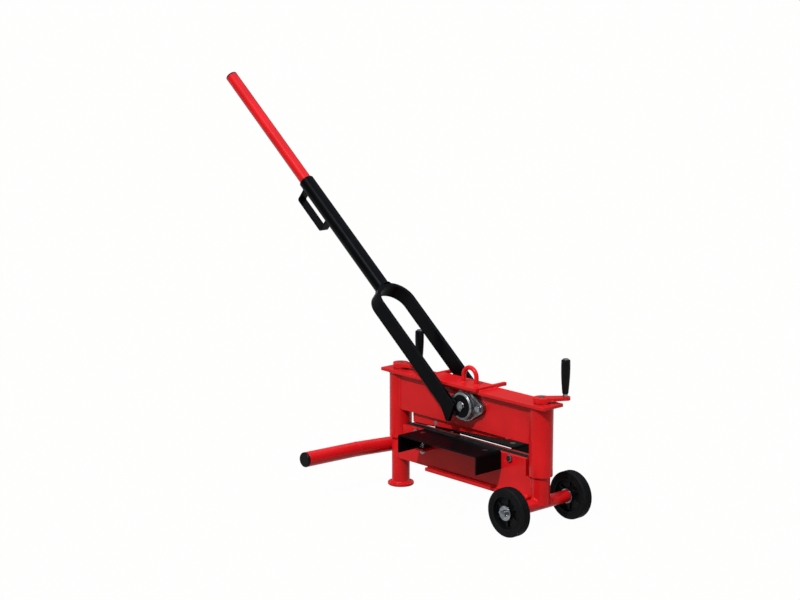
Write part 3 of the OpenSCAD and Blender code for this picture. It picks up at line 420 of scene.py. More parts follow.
@dataclass(frozen=True)
class ForgedScale(Finish):
    """Forged and hardened blade steel with its black scale.

    It gives a dull blue-black skin with brown-grey spots where the scale has flaked.
    """

    flake: str = "#3A3735"
    flake_mm: float = 6.0
    flake_band: Pair = (0.52, 0.66)
    flake_share: float = 0.7
    grain_mm: float = 1.0
    grain: Pair = (0.3, 0.5)
    metallic: float = 0.35

    def shader(self, steps: Steps) -> bpy.types.Node:
        """Mixes black scale with flaked spots over a rough grain."""
        spots = steps.noise(self.flake_mm, 6.0, 0.65)
        flaked = steps.spread(spots, self.flake_band, high=self.flake_share)
        colour = steps.mix(flaked, self.colour, self.flake)
        grain = steps.noise(self.grain_mm, 4.0)
        return steps.surface(colour, self.roughness, grain, self.grain, metallic=self.metallic)


@dataclass(frozen=True)
class Rubber(Finish):
    """Vulcanised black rubber of a solid tyre.

    It gives a matt charcoal with a pale bloom of dust and a fine mould grain.
    """

    dust: str = "#1A1B1C"
    dust_mm: float = 18.0
    dust_band: Pair = (0.42, 0.75)
    dust_share: float = 0.45
    grain_mm: float = 1.1
    grain: Pair = (0.25, 0.3)
    specular: float = 0.06

    def shader(self, steps: Steps) -> bpy.types.Node:
        """Mixes black with a dusty bloom over a fine grain."""
        cloud = steps.noise(self.dust_mm, 7.0, 0.65)
        dusty = steps.spread(cloud, self.dust_band, high=self.dust_share)
        colour = steps.mix(dusty, self.colour, self.dust)
        grain = steps.noise(self.grain_mm, 3.0)
        return steps.surface(colour, self.roughness, grain, self.grain, self.specular)


@dataclass(frozen=True)
class MouldedPlastic(Finish):
    """Injection-moulded black polypropylene of hubs, grips and plugs.

    It gives a satin near-black with a faint spark-eroded texture and greyer scuffs.
    """

    scuff: str = "#1A1C1E"
    scuff_mm: float = 12.0
    scuff_band: Pair = (0.5, 0.78)
    scuff_share: float = 0.4
    cell_mm: float = 1.0
    cells: Pair = (0.12, 0.2)
    specular: float = 0.07

    def shader(self, steps: Steps) -> bpy.types.Node:
        """Mixes black with faint scuffs over a cell texture as left by the mould."""
        cloud = steps.noise(self.scuff_mm, 6.0, 0.6)
        scuffed = steps.spread(cloud, self.scuff_band, high=self.scuff_share)
        colour = steps.mix(scuffed, self.colour, self.scuff)
        inputs = {"Vector": steps.place, "Scale": per_mm(self.cell_mm)}
        cells = add_node(steps.tree, "ShaderNodeTexVoronoi", inputs).outputs["Distance"]
        return steps.surface(colour, self.roughness, cells, self.cells, self.specular)


FINISHES: dict[Slot, Finish] = {
    Slot.RED_PAINT: GlossEnamel("red_gloss_enamel", "#C8161B", 0.26),
    Slot.BLACK_PAINT: SatinBlack("black_satin_paint", "#050608", 0.28),
    Slot.ZINC: PlatedMetal(
        "zinc_plated_steel", "#92969A", 0.24, dark="#63676B", patch_mm=9.0, grain_strength=0.1
    ),
    Slot.CAST_ZINC: PlatedMetal(
        "silver_cast_iron", "#8E9496", 0.34, dark="#5A6062", patch_mm=11.0, grain_strength=0.35
    ),
    Slot.BRIGHT_STEEL: PlatedMetal(
        "turned_steel", "#7C8082", 0.26, dark="#4E5254", grain_mm=0.8, lay=(0.25, 1.0, 1.0)
    ),
    Slot.BLADE_STEEL: ForgedScale("black_blade_steel", "#0E0F10", 0.5),
    Slot.BRONZE: PlatedMetal("bearing_bronze", "#B4894C", 0.3, dark="#8A6433", patch_mm=12.0),
    Slot.BLACK_RUBBER: Rubber("solid_tyre_rubber", "#0A0B0C", 0.6),
    Slot.BLACK_PLASTIC: MouldedPlastic("moulded_polypropylene", "#08090B", 0.4),
}


# Surfaces


@dataclass
class Shell:
    """A mesh as arrays: points in millimetres and faces as index rows padded with -1."""

    points: np.ndarray
    faces: np.ndarray

    def moved(self, turn: np.ndarray, shift: Triple) -> Shell:
        """The shell turned by a 3 by 3 matrix and then shifted.

        Args:
            turn: Rotation matrix, rows are the images' coordinates.
            shift: Where the origin goes.

        Returns:
            A new shell.
        """
        return Shell(self.points @ np.asarray(turn, float).T + np.asarray(shift, float), self.faces)

    def outward(self) -> Shell:
        """The closed shell with its faces outward, so that the volume they enclose is positive.

        Returns:
            This shell, or one whose faces run the other way round.
        """
        rows = np.where(self.faces >= 0, self.faces, self.faces[:, 2:3])
        a, b, c, d = (self.points[rows[:, k]] for k in range(4))
        volume = np.sum(a * (np.cross(b, c) + np.cross(c, d)))
        return self if volume > 0 else Shell(self.points, self.faces[:, ::-1])


def joined(shells: list[Shell]) -> Shell:
    """Puts several shells into one.

    Args:
        shells: The shells.

    Returns:
        One shell with all their points and faces.
    """
    starts = np.cumsum([0] + [len(s.points) for s in shells[:-1]])
    faces = [np.where(s.faces >= 0, s.faces + start, -1) for s, start in zip(shells, starts)]
    return Shell(np.vstack([s.points for s in shells]), np.vstack(faces))


def unit(rows: np.ndarray) -> np.ndarray:
    """Vectors scaled to a length of 1."""
    return rows / np.linalg.norm(rows, axis=1, keepdims=True)


def circle(count: int) -> np.ndarray:
    """Unit vectors evenly round Z."""
    turn = np.linspace(0.0, TAU, count, endpoint=False)
    return np.stack([np.cos(turn), np.sin(turn), 0 * turn], axis=1)


def grid_faces(rows: int, cols: int, round_rows: bool = False) -> np.ndarray:
    """Quads of a grid of points whose rows are rings.

    Args:
        rows: Number of rows of points.
        cols: Number of points in a row.
        round_rows: Whether the last row joins the first.

    Returns:
        One row of four indices per quad.
    """
    steps = np.arange(rows if round_rows else rows - 1)
    i, j = (index.ravel() for index in np.meshgrid(steps, np.arange(cols), indexing="ij"))
    down, right = (i + 1) % rows, (j + 1) % cols
    return np.stack([i * cols + j, i * cols + right, down * cols + right, down * cols + j], axis=1)


def poled(rows: np.ndarray, low: np.ndarray, high: np.ndarray) -> Shell:
    """Rings of points joined into a skin, with one point at each end.

    Args:
        rows: Rings by points by coordinates.
        low: The point before the first ring.
        high: The point after the last ring.

    Returns:
        A closed shell.
    """
    count, sides = rows.shape[:2]
    points = np.vstack([rows.reshape(-1, 3), low, high])
    k = np.arange(sides)
    after, pad, top = (k + 1) % sides, np.full(sides, -1), (count - 1) * sides
    foot = np.stack([np.full(sides, len(points) - 2), after, k, pad], axis=1)
    head = np.stack([np.full(sides, len(points) - 1), top + k, top + after, pad], axis=1)
    return Shell(points, np.vstack([grid_faces(count, sides), foot, head]))


def end_lids(hub: int, first: int, count: int, last: int) -> np.ndarray:
    """Fans of triangles that shut both ends of a strip of equal rows.

    Args:
        hub: Index in a row of the point that the triangles share.
        first: Index in a row of the first other point.
        count: Number of triangles.
        last: Index of the last row's first point.

    Returns:
        The faces, of which those at the last row run the other way round.
    """
    k = first + np.arange(count)
    fan = np.stack([np.full(count, hub), k, k + 1, np.full(count, -1)], axis=1)
    return np.vstack([fan, np.where(fan >= 0, fan + last, -1)[:, [0, 2, 1, 3]]])


def revolved(profile: np.ndarray, segments: int, ripple: np.ndarray | float = 1.0) -> np.ndarray:
    """An outline turned about Z: point (t, a) is (r cos a, r sin a, z) of the outline at t.

    Args:
        profile: Radius and height of each outline point.
        segments: Points round the axis.
        ripple: Factor on the radius, one for all or one at each outline point and angle.

    Returns:
        Outline points by angles by coordinates.
    """
    angle = np.arange(segments) * TAU / segments
    radius = profile[:, :1] * np.ones((1, segments)) * ripple
    height = np.broadcast_to(profile[:, 1:], radius.shape)
    return np.stack([radius * np.cos(angle), radius * np.sin(angle), height], axis=2)


def lathe(profile: list | np.ndarray, segments: int) -> Shell:
    """A closed outline turned about Z.

    Args:
        profile: Closed outline of radius and height.
        segments: Points round the axis.

    Returns:
        A closed ring-shaped shell.
    """
    rows = revolved(np.array(profile, float), segments)
    return Shell(rows.reshape(-1, 3), grid_faces(len(rows), segments, True)).outward()


def tube(path: np.ndarray, radius: float, sides: int = 10) -> Shell:
    """A round wire along a path: at each point a circle square to the path.

    Args:
        path: Points of the wire's centre line.
        radius: Radius of the wire.
        sides: Points round the wire.

    Returns:
        A closed shell.
    """
    ahead = np.roll(path, -1, 0) - np.roll(path, 1, 0)
    ahead[0], ahead[-1] = path[1] - path[0], path[-1] - path[-2]
    ahead = unit(ahead)
    # The side direction is the part of one fixed odd direction that is square to the path
    odd = np.array([0.36, 0.48, 0.8])
    side = unit(odd - (ahead @ odd)[:, None] * ahead)
    up = np.cross(ahead, side)
    turn = np.arange(sides) * TAU / sides
    ring = np.cos(turn)[None, :, None] * side[:, None] + np.sin(turn)[None, :, None] * up[:, None]
    return poled(path[:, None] + radius * ring, path[:1], path[-1:])


@dataclass(frozen=True)
class WeldHand:
    """How the welder lays a bead: shares are of its leg, the reach on each face."""

    ripple_mm: float = 2.6
    ripple_share: float = 0.16
    run_in: float = 1.2
    end_share: float = 0.25
    bulge: float = 0.22
    root: float = 0.35
    # Points across the skin of a bead
    skin: int = 7

    def swell(self, path: np.ndarray, leg: float, closed: bool) -> np.ndarray:
        """The factor on the leg along a path: ripple after ripple, and run-in at open ends.

        Args:
            path: Points along the corner.
            leg: Reach of the bead on each face.
            closed: Whether the path returns to its start.

        Returns:
            One factor per point.
        """
        end = path[:1] if closed else path[-1:]
        step = np.linalg.norm(np.diff(path, axis=0, append=end), axis=1)
        run = np.concatenate([[0.0], np.cumsum(step)[:-1]])
        phase = (run / self.ripple_mm) % 1.0
        swell = 1.0 + self.ripple_share * np.sqrt(1.0 - phase) - self.ripple_share / 2
        if closed:
            return swell
        rise = np.minimum(run, run[-1] - run) / (self.run_in * leg) + self.end_share
        return swell * np.clip(rise, self.end_share, 1.0) ** 0.5


def bead(
    path: np.ndarray,
    one: Triple | np.ndarray,
    other: Triple | np.ndarray,
    leg: float,
    closed: bool = False,
) -> Shell:
    """A weld bead in the corner between two faces.

    At share t across the bead its surface is path + leg ((1 - t) one + t other + bulge sin(pi t) out),
    where out lies between the two directions and the leg swells as the welder's hand does.

    Args:
        path: Points along the corner.
        one: Direction away from the corner on the first face, one for all points or one each.
        other: The same on the second face.
        leg: Reach of the bead on each face.
        closed: Whether the path returns to its start.

    Returns:
        A closed shell.
    """
    hand = WeldHand()
    one, other = np.broadcast_to(one, path.shape), np.broadcast_to(other, path.shape)
    out = one + other
    flat = np.linalg.norm(out, axis=1, keepdims=True)
    out = out / np.where(flat < 1e-6, 1.0, flat)
    t = np.linspace(0.0, 1.0, hand.skin)
    across = (1 - t)[None, :, None] * one[:, None] + t[None, :, None] * other[:, None]
    arch = hand.bulge * np.sin(np.pi * t)[None, :, None] * out[:, None]
    swell = hand.swell(path, leg, closed)[:, None, None]
    root = (path - hand.root * leg * out)[:, None]
    rows = np.concatenate([path[:, None] + leg * swell * (across + arch), root], axis=1)
    count, width = rows.shape[:2]
    faces = grid_faces(count, width, closed)
    if not closed:
        lids = end_lids(width - 1, 0, width - 2, (count - 1) * width)
        faces = np.vstack([faces, lids])
    return Shell(rows.reshape(-1, 3), faces).outward()


def line(start: Triple | np.ndarray, end: Triple | np.ndarray, pitch: float = 0.65) -> np.ndarray:
    """Points along a straight line.

    Args:
        start: First point.
        end: Last point.
        pitch: Distance between neighbours.

    Returns:
        The points.
    """
    a, b = np.array(start, float), np.array(end, float)
    count = max(int(np.linalg.norm(b - a) / pitch), 2)
    return a + np.linspace(0.0, 1.0, count)[:, None] * (b - a)


def upright_beads(radius: float, face: float, pitch: float, span: Pair, leg: float) -> list[Shell]:
    """The upright beads between two plates and the round tubes at their ends.

    Args:
        radius: Radius of the tubes, which stand at x = 0 and x = pitch.
        face: Distance of the plates' outer faces from the middle.
        pitch: Distance between the tubes.
        span: Heights of the beads' two ends.
        leg: Reach of a bead.

    Returns:
        The four beads.
    """
    across = math.sqrt(radius**2 - face**2)
    shells = []
    for tube_x, way in ((0.0, 1), (pitch, -1)):
        for side in SIDES:
            x, y = tube_x + way * across, side * face
            round_tube = np.array([-way * face, side * across, 0]) / radius
            path = line((x, y, span[0]), (x, y, span[1]))
            shells.append(bead(path, (way, 0, 0), round_tube, leg))
    return shells


def long_beads(runs: list[Pair], face: float, z: float, upright: Triple, leg: float) -> list[Shell]:
    """Straight beads along the outer faces of the front and rear plates.

    Args:
        runs: First and last x of each run.
        face: Distance of the faces from the middle.
        z: Height of the corner.
        upright: Direction of the bead's upright leg.
        leg: Reach of a bead.

    Returns:
        The beads, front ones first.
    """
    return [
        bead(line((a, side * face, z), (b, side * face, z)), (0, side, 0), upright, leg)
        for side in SIDES
        for a, b in runs
    ]


def turned_to(direction: Triple) -> np.ndarray:
    """A rotation matrix that takes +Z to a direction."""
    return np.array(Vector((0, 0, 1)).rotation_difference(Vector(direction)).to_matrix())


@dataclass(frozen=True)
class HexBolt:
    """A hexagon bolt: head with a turned chamfer, washer and shank, along +Z on its seat."""

    corners: float
    head: float
    shank: float
    length: float
    washer: float = 0.0
    washer_t: float = 2.0
    tip: float = 0.6
    dish: float = 0.3
    bore_clear: float = 0.3
    segments: int = 72
    washer_segments: int = 64
    # Outline points between the lower pole and the head, which the flats don't cut
    shank_points: int = 3

    def shell(self) -> Shell:
        """Head and shank as one turned outline whose radius is cut by the six flats, and a washer.

        Returns:
            The bolt's shell, with its seat at z = 0.
        """
        seat = self.washer_t if self.washer else 0.0
        big, thin = self.corners / 2, self.shank / 2
        flat = big * math.cos(math.pi / 6)
        top, rim = seat + self.head, 0.12 * self.head
        outline = np.array(
            [
                [thin - self.tip, -self.length],
                [thin, self.tip - self.length],
                [thin, seat],
                [flat * 0.97, seat],
                [big, seat + rim],
                [big, top - 2.4 * rim],
                [0.5 * (big + flat), top - 1.3 * rim],
                [flat * 0.98, top - 0.35 * rim],
                [flat * 0.9, top],
                [flat * 0.55, top - self.dish],
            ]
        )
        angle = np.arange(self.segments) * TAU / self.segments
        inside = (angle + math.pi / 6) % (math.pi / 3) - math.pi / 6
        radius = outline[:, :1]
        heads = (np.arange(len(outline)) >= self.shank_points)[:, None]
        ripple = np.where(heads, np.minimum(radius, flat / np.cos(inside)) / radius, 1.0)
        rows = revolved(outline, self.segments, ripple)
        shells = [poled(rows, np.array([[0, 0, -self.length]]), np.array([[0, 0, top - self.dish]]))]
        if self.washer:
            out, bore, bit = self.washer / 2, thin + self.bore_clear, 0.3
            ring = [[bore, 0], [out, 0], [out, seat - bit], [out - bit, seat], [bore, seat]]
            shells.append(lathe(ring, self.washer_segments))
        return joined(shells)


# Pieces


def make_piece(
    name: str, shell: Shell, body: Body, slot: Slot, sharp: float = SHARP
) -> bpy.types.Object:
    """Writes a shell into a mesh object that rides on a body and wears its slot's finish.

    Args:
        name: The piece's name.
        shell: Its surface, in millimetres.
        body: The body that carries it.
        slot: The record's material slot.
        sharp: Edges that turn by more than this many degrees stay sharp.

    Returns:
        The new object.
    """
    mesh = bpy.data.meshes.new(name)
    faces = [row[row >= 0].tolist() for row in shell.faces]
    mesh.from_pydata((shell.points * MM).tolist(), [], faces)
    mesh.update()
    mesh.shade_smooth()
    mesh.set_sharp_from_angle(angle=math.radians(sharp))
    mesh.materials.append(FINISHES[slot].material())
    piece = bpy.data.objects.new(name, mesh)
    bpy.context.scene.collection.objects.link(piece)
    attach(piece, body.value)
    LOG.info("piece %s: %d faces on %s", name, len(mesh.polygons), body.value)
    return piece


@dataclass
class Dresser:
    """Gives every CAD node its finish, smooth shading and softened edges."""

    edge_mm: float = 0.6
    # Points nearer than this many metres are one, and faces within this many degrees are flat
    join_m: float = 2e-6
    flat_angle: float = 0.6

    def dress(self) -> None:
        """Sets the material and the edge modifiers of each CAD node from the record."""
        for row in frame["record"]["subparts"]:
            node = frame["nodes"][row["node"]]
            finish = FINISHES[Slot(row["material_slot"])]
            node.data.materials.clear()
            node.data.materials.append(finish.material())
            self.soften(node)
            LOG.info("node %s: %s", row["node"], finish.name)

    def soften(self, node: bpy.types.Object) -> None:
        """Joins a node's loose triangles, makes flat faces whole, and rounds its sharp edges.

        Args:
            node: The CAD node's object.
        """
        node.data.shade_smooth()
        weld = node.modifiers.new("join", "WELD")
        weld.merge_threshold = self.join_m
        whole = node.modifiers.new("flat_faces", "DECIMATE")
        whole.decimate_type = "DISSOLVE"
        whole.angle_limit = math.radians(self.flat_angle)
        edge = node.modifiers.new("edges", "BEVEL")
        edge.width = self.edge_mm * MM
        edge.segments = 2
        edge.limit_method = "ANGLE"
        edge.angle_limit = math.radians(SHARP)
        edge.use_clamp_overlap = True
        edge.harden_normals = False
        shade = node.modifiers.new("shade", "WEIGHTED_NORMAL")
        shade.keep_sharp = True


@dataclass
class BaseFrame:
    """The welded lower frame: posts, plates, axle tube and handle."""

    post_pitch: float = 520.0
    post_r: float = 24.15
    foot_t: float = 8.0
    axle_z: float = 62.5
    axle_tube_r: float = 16.0
    plate_face: float = 21.0
    plate_bottom: float = 79.0
    notch_z: float = 130.0
    bottom_ends: Pair = (130.0, 496.0)
    handle_x: float = -42.9
    handle_r: float = 19.75
    handle_z: float = 103.0
    handle_joint: Pair = (-120.0, 110.55)
    leg: float = 4.0
    # Where a saddle bead starts and ends round the post, in degrees
    saddle_ends: Pair = (49.5, 130.5)
    # Lean of the handle's seat bead towards the post and away from it
    seat_lean: float = 0.35
    mitre_leg: float = 1.9
    mitre_sink: float = 0.8
    # Shares of the mitre bead's legs that point outward and along the handle
    mitre_way: Pair = (0.45, 0.89)

    def welds(self) -> Shell:
        """Every weld bead of the base.

        Returns:
            One shell of all the beads.
        """
        span = (self.plate_bottom, self.notch_z)
        ends = upright_beads(self.post_r, self.plate_face, self.post_pitch, span, self.leg)
        feet = long_beads([self.bottom_ends], self.plate_face, self.plate_bottom, UP, self.leg)
        handle = [self.handle_seat(), self.mitre()]
        return joined([self.foot(), *self.saddles(), *ends, *feet, *handle])

    def foot(self) -> Shell:
        """The ring bead between the left post and the foot flange."""
        out = circle(240)
        return bead(self.post_r * out + [0, 0, self.foot_t], out, UP, self.leg, closed=True)

    def saddles(self) -> list[Shell]:
        """The beads where the right post sits on the axle tube, on the curve that both share."""
        turn = np.radians(np.linspace(*self.saddle_ends, 60))
        x, y = self.post_r * np.cos(turn), self.post_r * np.sin(turn)
        z = self.axle_z + np.sqrt(np.maximum(self.axle_tube_r**2 - x**2, 0.0))
        shells = []
        for side in SIDES:
            path = np.stack([self.post_pitch + x, side * y, z], axis=1)
            shells.append(bead(path[::side], UP, (0, side, 0), self.leg))
        return shells

    def handle_seat(self) -> Shell:
        """The oval bead where the handle's stub is coped against the left post."""
        reach = self.handle_r + self.handle_x + self.post_r
        half = math.acos(1.0 - reach / self.handle_r)
        turn = np.linspace(0.0, TAU, 90, endpoint=False)
        lift = half * np.sin(turn)
        x = self.handle_x + self.handle_r * np.cos(lift)
        y = np.sign(np.cos(turn)) * np.sqrt(np.maximum(self.post_r**2 - x**2, 0.0))
        path = np.stack([x, y, self.handle_z + self.handle_r * np.sin(lift)], axis=1)
        out = unit((path - path.mean(0)) * [0.0, 1.0, 1.0])
        one, other = (unit(out + [way * self.seat_lean, 0, 0]) for way in (1, -1))
        return bead(path, one, other, self.leg, closed=True)

    def mitre(self) -> Shell:
        """The low ring bead round the handle's mitre."""
        out = circle(150)[:, [0, 2, 1]]
        centre = np.array([self.handle_x, *self.handle_joint])
        outward, along = self.mitre_way
        front, back = (outward * out + [0, way * along, 0] for way in SIDES)
        path = centre + (self.handle_r - self.mitre_sink) * out
        return bead(path, front, back, self.mitre_leg, closed=True)


@dataclass
class UpperFrame:
    """The welded frame that slides on the posts: sleeves, plates, bridge, stops and lifting eye."""

    post_pitch: float = 520.0
    sleeve_r: float = 30.15
    plate_face: float = 21.0
    plate_bottom: float = 215.5
    # Underside of the top plate, its upper face and half its width
    top_z: float = 314.0
    top_face: float = 322.0
    top_half_w: float = 36.5
    # First and last x of the beads under the top plate
    head_ends: Pair = (27.0, 493.0)
    bridge: Pair = (138.0, 322.0)
    bridge_rear: float = 27.0
    bridge_top: float = 330.0
    bridge_inset: float = 4.0
    stops: Pair = (128.0, 332.0)
    stop_inset: float = 2.0
    stop_leg: float = 3.4
    eye_xs: Pair = (253.75, 300.25)
    eye_y: float = -12.0
    eye_r: float = 6.0
    eye_leg: float = 3.2
    shaft: Pair = (282.0, 277.0)
    housing_clear: float = 68.0
    flange_face: float = 34.0
    bolt_x: float = 50.0
    leg: float = 4.0

    def welds(self) -> Shell:
        """Every weld bead of the upper frame, with those under the top plate broken at the housings.

        Returns:
            One shell of all the beads.
        """
        span = (self.plate_bottom, self.top_z)
        ends = upright_beads(self.sleeve_r, self.plate_face, self.post_pitch, span, self.leg)
        (first, last), middle, clear = self.head_ends, self.shaft[0], self.housing_clear
        runs = [(first, middle - clear), (middle + clear, last)]
        heads = long_beads(runs, self.plate_face, self.top_z, DOWN, self.leg)
        return joined([*self.sleeve_heads(), *ends, *heads, *self.bridge_edges(), *self.eye()])

    def sleeve_heads(self) -> list[Shell]:
        """The ring beads between the sleeves and the top plate's underside."""
        out = circle(280)[::-1]
        rings = [self.sleeve_r * out + [x, 0, self.top_z] for x in (0.0, self.post_pitch)]
        return [bead(ring, out, DOWN, self.leg, closed=True) for ring in rings]

    def bridge_edges(self) -> list[Shell]:
        """The beads along the bridge plate and outside the lever stops."""
        (left, right), z = self.bridge, self.top_face
        front, inset = -self.top_half_w, self.bridge_inset
        rear = line((left, self.bridge_rear, z), (right, self.bridge_rear, z))
        under = line((left + inset, front, z), (right - inset, front, z))
        shells = [bead(rear, (0, 1, 0), UP, self.leg), bead(under, (0, -1, 0), DOWN, self.leg)]
        for x, way in zip(self.stops, SIDES):
            path = line((x, front + self.stop_inset, z), (x, -front - self.stop_inset, z))
            shells.append(bead(path, (way, 0, 0), UP, self.stop_leg))
        return shells

    def eye(self) -> list[Shell]:
        """The ring beads at the feet of the lifting eye."""
        out = circle(80)
        rings = [self.eye_r * out + [x, self.eye_y, self.bridge_top] for x in self.eye_xs]
        return [bead(ring, out, UP, self.eye_leg, closed=True) for ring in rings]

    def bearing_bolts(self) -> Shell:
        """The four bolts of the bearing housings with their washers.

        Returns:
            One shell of the four bolts.
        """
        bolt = HexBolt(corners=20.0, head=7.0, shank=12.0, length=21.0, washer=23.0, washer_t=1.8)
        shell = bolt.shell()
        x, z = self.shaft
        return joined(
            [
                shell.moved(
                    turned_to((0, side, 0)), (x + way * self.bolt_x, side * self.flange_face, z)
                )
                for side in SIDES
                for way in SIDES
            ]
        )


@dataclass
class LeverArm:
    """The forked lever: flat-bar fork, hub discs, tube and strap grip, in the lever's own frame.

    Its X runs along the lever from the shaft, its Y is the model's, and its Z points to the underside.
    """

    shaft: Pair = (282.0, 277.0)
    angle: float = 39.0
    drop: float = 27.5
    fork_l: float = 372.5
    bend_r: float = 59.3
    arm_inner: float = 49.3
    tube_r: float = 21.2
    tube_end: float = 838.8
    root_leg: float = 4.5
    strap_below: float = 15.0
    strap_l: float = 124.0
    strap_w: float = 26.0
    strap_leg: float = 4.0
    arm_near: float = 6.5
    heel: float = 14.0
    # Sine and cosine of the slant of the arms' ends
    slant: Pair = (0.26, 0.966)
    # Where the seams on the discs start along the arm, and where they end along its slanted end
    seam_from: float = 33.0
    seam_to: float = 13.0
    seam_gap: float = 1.0
    seam_leg: float = 3.2
    bolt_drop: float = 28.5
    disc_r: float = 36.0
    disc_face_r: float = 30.0
    disc_t: float = 8.0
    disc_clear: float = 0.02
    disc_segments: int = 128
    shaft_end_r: float = 10.0
    ring_open: float = 36.0

    def place(self, shell: Shell) -> Shell:
        """Moves a shell from the lever's frame into the model's.

        Args:
            shell: The shell, in the lever's frame, which is turned about Y by the lever's angle less
                a half turn.

        Returns:
            The shell in the model's frame.
        """
        a = math.radians(self.angle - 180.0)
        c, s = math.cos(a), math.sin(a)
        turn = np.array([[c, 0, s], [0, 1, 0], [-s, 0, c]])
        return shell.moved(turn, (self.shaft[0], 0.0, self.shaft[1]))

    def welds(self) -> Shell:
        """Every weld bead of the lever.

        Returns:
            One shell of all the beads, in the model's frame.
        """
        return self.place(joined([self.tube_root(), *self.strap_feet(), *self.disc_seams()]))

    def tube_root(self) -> Shell:
        """The saddle bead where the tube meets the outside of the fork's bend."""
        out = circle(180)[:, [2, 0, 1]]
        y, z = self.tube_r * out[:, 1], self.tube_r * out[:, 2]
        along = self.fork_l + np.sqrt(self.bend_r**2 - y**2)
        path = np.stack([along, y, self.drop + z], axis=1)
        return bead(path, out, (1, 0, 0), self.root_leg, closed=True)

    def strap_feet(self) -> list[Shell]:
        """The beads at the outer faces of the strap grip's two legs."""
        y = np.linspace(-0.5 * self.strap_w, 0.5 * self.strap_w, 40)
        z = self.drop + np.sqrt(self.tube_r**2 - y**2)
        high = self.tube_end - self.strap_below
        shells = []
        for along, way in ((high, 1), (high - self.strap_l, -1)):
            path = np.stack([0 * y + along, y, z], axis=1)
            shells.append(bead(path[::way], (way, 0, 0), UP, self.strap_leg))
        return shells

    def disc_seams(self) -> list[Shell]:
        """The beads along the arms' near edges and ends on the hub discs."""
        sine, cosine = self.slant
        end_way, end_out = np.array([-sine, 0, cosine]), (-cosine, 0, -sine)
        shells = []
        for side in SIDES:
            y, z, gap = side * self.arm_inner, self.arm_near, self.seam_gap
            near = line((self.seam_from, y, z), (self.heel + gap, y, z))
            corner = np.array([self.heel, y, z])
            end = line(corner + gap * end_way, corner + self.seam_to * end_way)
            for path, out in ((near, DOWN), (end, end_out)):
                shells.append(bead(path[::side], out, (0, side, 0), self.seam_leg))
        return shells

    def on_both_faces(self, shell: Shell, drop: float = 0.0) -> Shell:
        """Puts a shell that stands along +Z on the outer faces of both hub discs.

        Args:
            shell: The shell, with its seat at z = 0.
            drop: How far it lies below the shaft, across the lever.

        Returns:
            The two copies, in the model's frame.
        """
        copies = [
            shell.moved(turned_to((0, side, 0)), (0, side * self.arm_inner, drop)) for side in SIDES
        ]
        return self.place(joined(copies))

    def bolts(self) -> Shell:
        """The bolts that hold the arms' ends to the hub discs."""
        bolt = HexBolt(corners=13.0, head=4.5, shank=8.0, length=8.0)
        return self.on_both_faces(bolt.shell(), self.bolt_drop)

    def disc_faces(self) -> Shell:
        """The painted middle of each hub disc, bored for the shaft."""
        low, rim, bore = -self.disc_t, self.disc_face_r, self.shaft_end_r + self.disc_clear
        bar = [[bore, low], [rim, low], [rim, -0.4], [rim - 0.4, 0], [bore, 0]]
        return self.on_both_faces(lathe(bar, self.disc_segments))

    def disc_rims(self) -> Shell:
        """The turned rim of each hub disc, with a small step and round edges."""
        low, inner, outer = -self.disc_t, self.disc_face_r, self.disc_r
        step = 0.55 * inner + 0.45 * outer
        bar = [[inner, low], [outer - 0.6, low], [outer, low + 0.6], [outer, -1.6], [outer - 0.8, -0.8]]
        bar += [[step + 0.4, -0.8], [step, -0.3], [step - 0.3, 0], [inner + 0.3, 0], [inner, -0.4]]
        return self.on_both_faces(lathe(bar, self.disc_segments))

    def ring(self) -> Shell:
        """A retaining ring that is open towards the wheels: a rounded bar bent round the shaft.

        Returns:
            The ring about Z, lying on z = 0.
        """
        wide, thick, bit = 3.0, 2.4, 0.5
        bar = [[0, 0], [wide - bit, 0], [wide, bit]]
        bar += [[wide, thick - bit], [wide - bit, thick], [0, thick]]
        radius, height = (np.array(bar) + [self.shaft_end_r, 0.0]).T
        turn = math.pi + np.radians(np.linspace(self.ring_open, 360.0 - self.ring_open, 73))[:, None]
        x, y = np.cos(turn) * radius, np.sin(turn) * radius
        rows = np.stack([x, y, np.broadcast_to(height, x.shape)], axis=2)
        count, width = rows.shape[:2]
        lids = end_lids(0, 1, width - 2, (count - 1) * width)
        return Shell(rows.reshape(-1, 3), np.vstack([grid_faces(count, width), lids])).outward()


@dataclass
class Wheel:
    """A solid tyre, about its own axle along +Z."""

    tyre_r: float = 62.5
    hub_r: float = 44.0
    width: float = 29.0
    shoulder: float = 5.5
    grooves: Triple = (-6.2, 0.0, 6.2)
    groove_w: float = 2.2
    groove_depth: float = 1.6
    axle: Pair = (520.0, 62.5)
    pitch: float = 223.0
    segments: int = 160

    def tyre(self) -> Shell:
        """A grooved tread with round shoulders and two ribs on each sidewall, as one turned outline.

        Returns:
            The tyre about Z, middle at the origin.
        """
        half = self.width / 2
        # Steps outward from the hub and into the sidewall, and a groove in shares of its depth and width
        wall = [[0, 0.8], [0.8, 0], [2.6, 0], [3.0, 0.6], [5.6, 0.6], [6.0, 0], [7.6, 0], [8.0, 0.5]]
        cut = np.array([[0, -0.7], [-0.2, -0.5], [-1, -0.35], [-1, 0.35], [-0.2, 0.5], [0, 0.7]])
        turn = np.radians(np.linspace(-80.0, 0.0, 10))
        bend = self.shoulder * np.stack([np.cos(turn) - 1.0, np.sin(turn) + 1.0], axis=1)
        low = np.vstack([np.array(wall) + [self.hub_r, -half], bend + [self.tyre_r, -half]])
        size = [self.groove_depth, self.groove_w]
        cuts = [cut * size + [self.tyre_r, middle] for middle in self.grooves]
        return lathe(np.vstack([low, *cuts, low[::-1] * [1.0, -1.0]]), self.segments)

    def placed(self, side: int) -> Shell:
        """The tyre on its wheel.

        Args:
            side: -1 for the front wheel and 1 for the rear.

        Returns:
            The tyre in the model's frame.
        """
        x, z = self.axle
        return self.tyre().moved(turned_to((0, side, 0)), (x, side * self.pitch / 2, z))


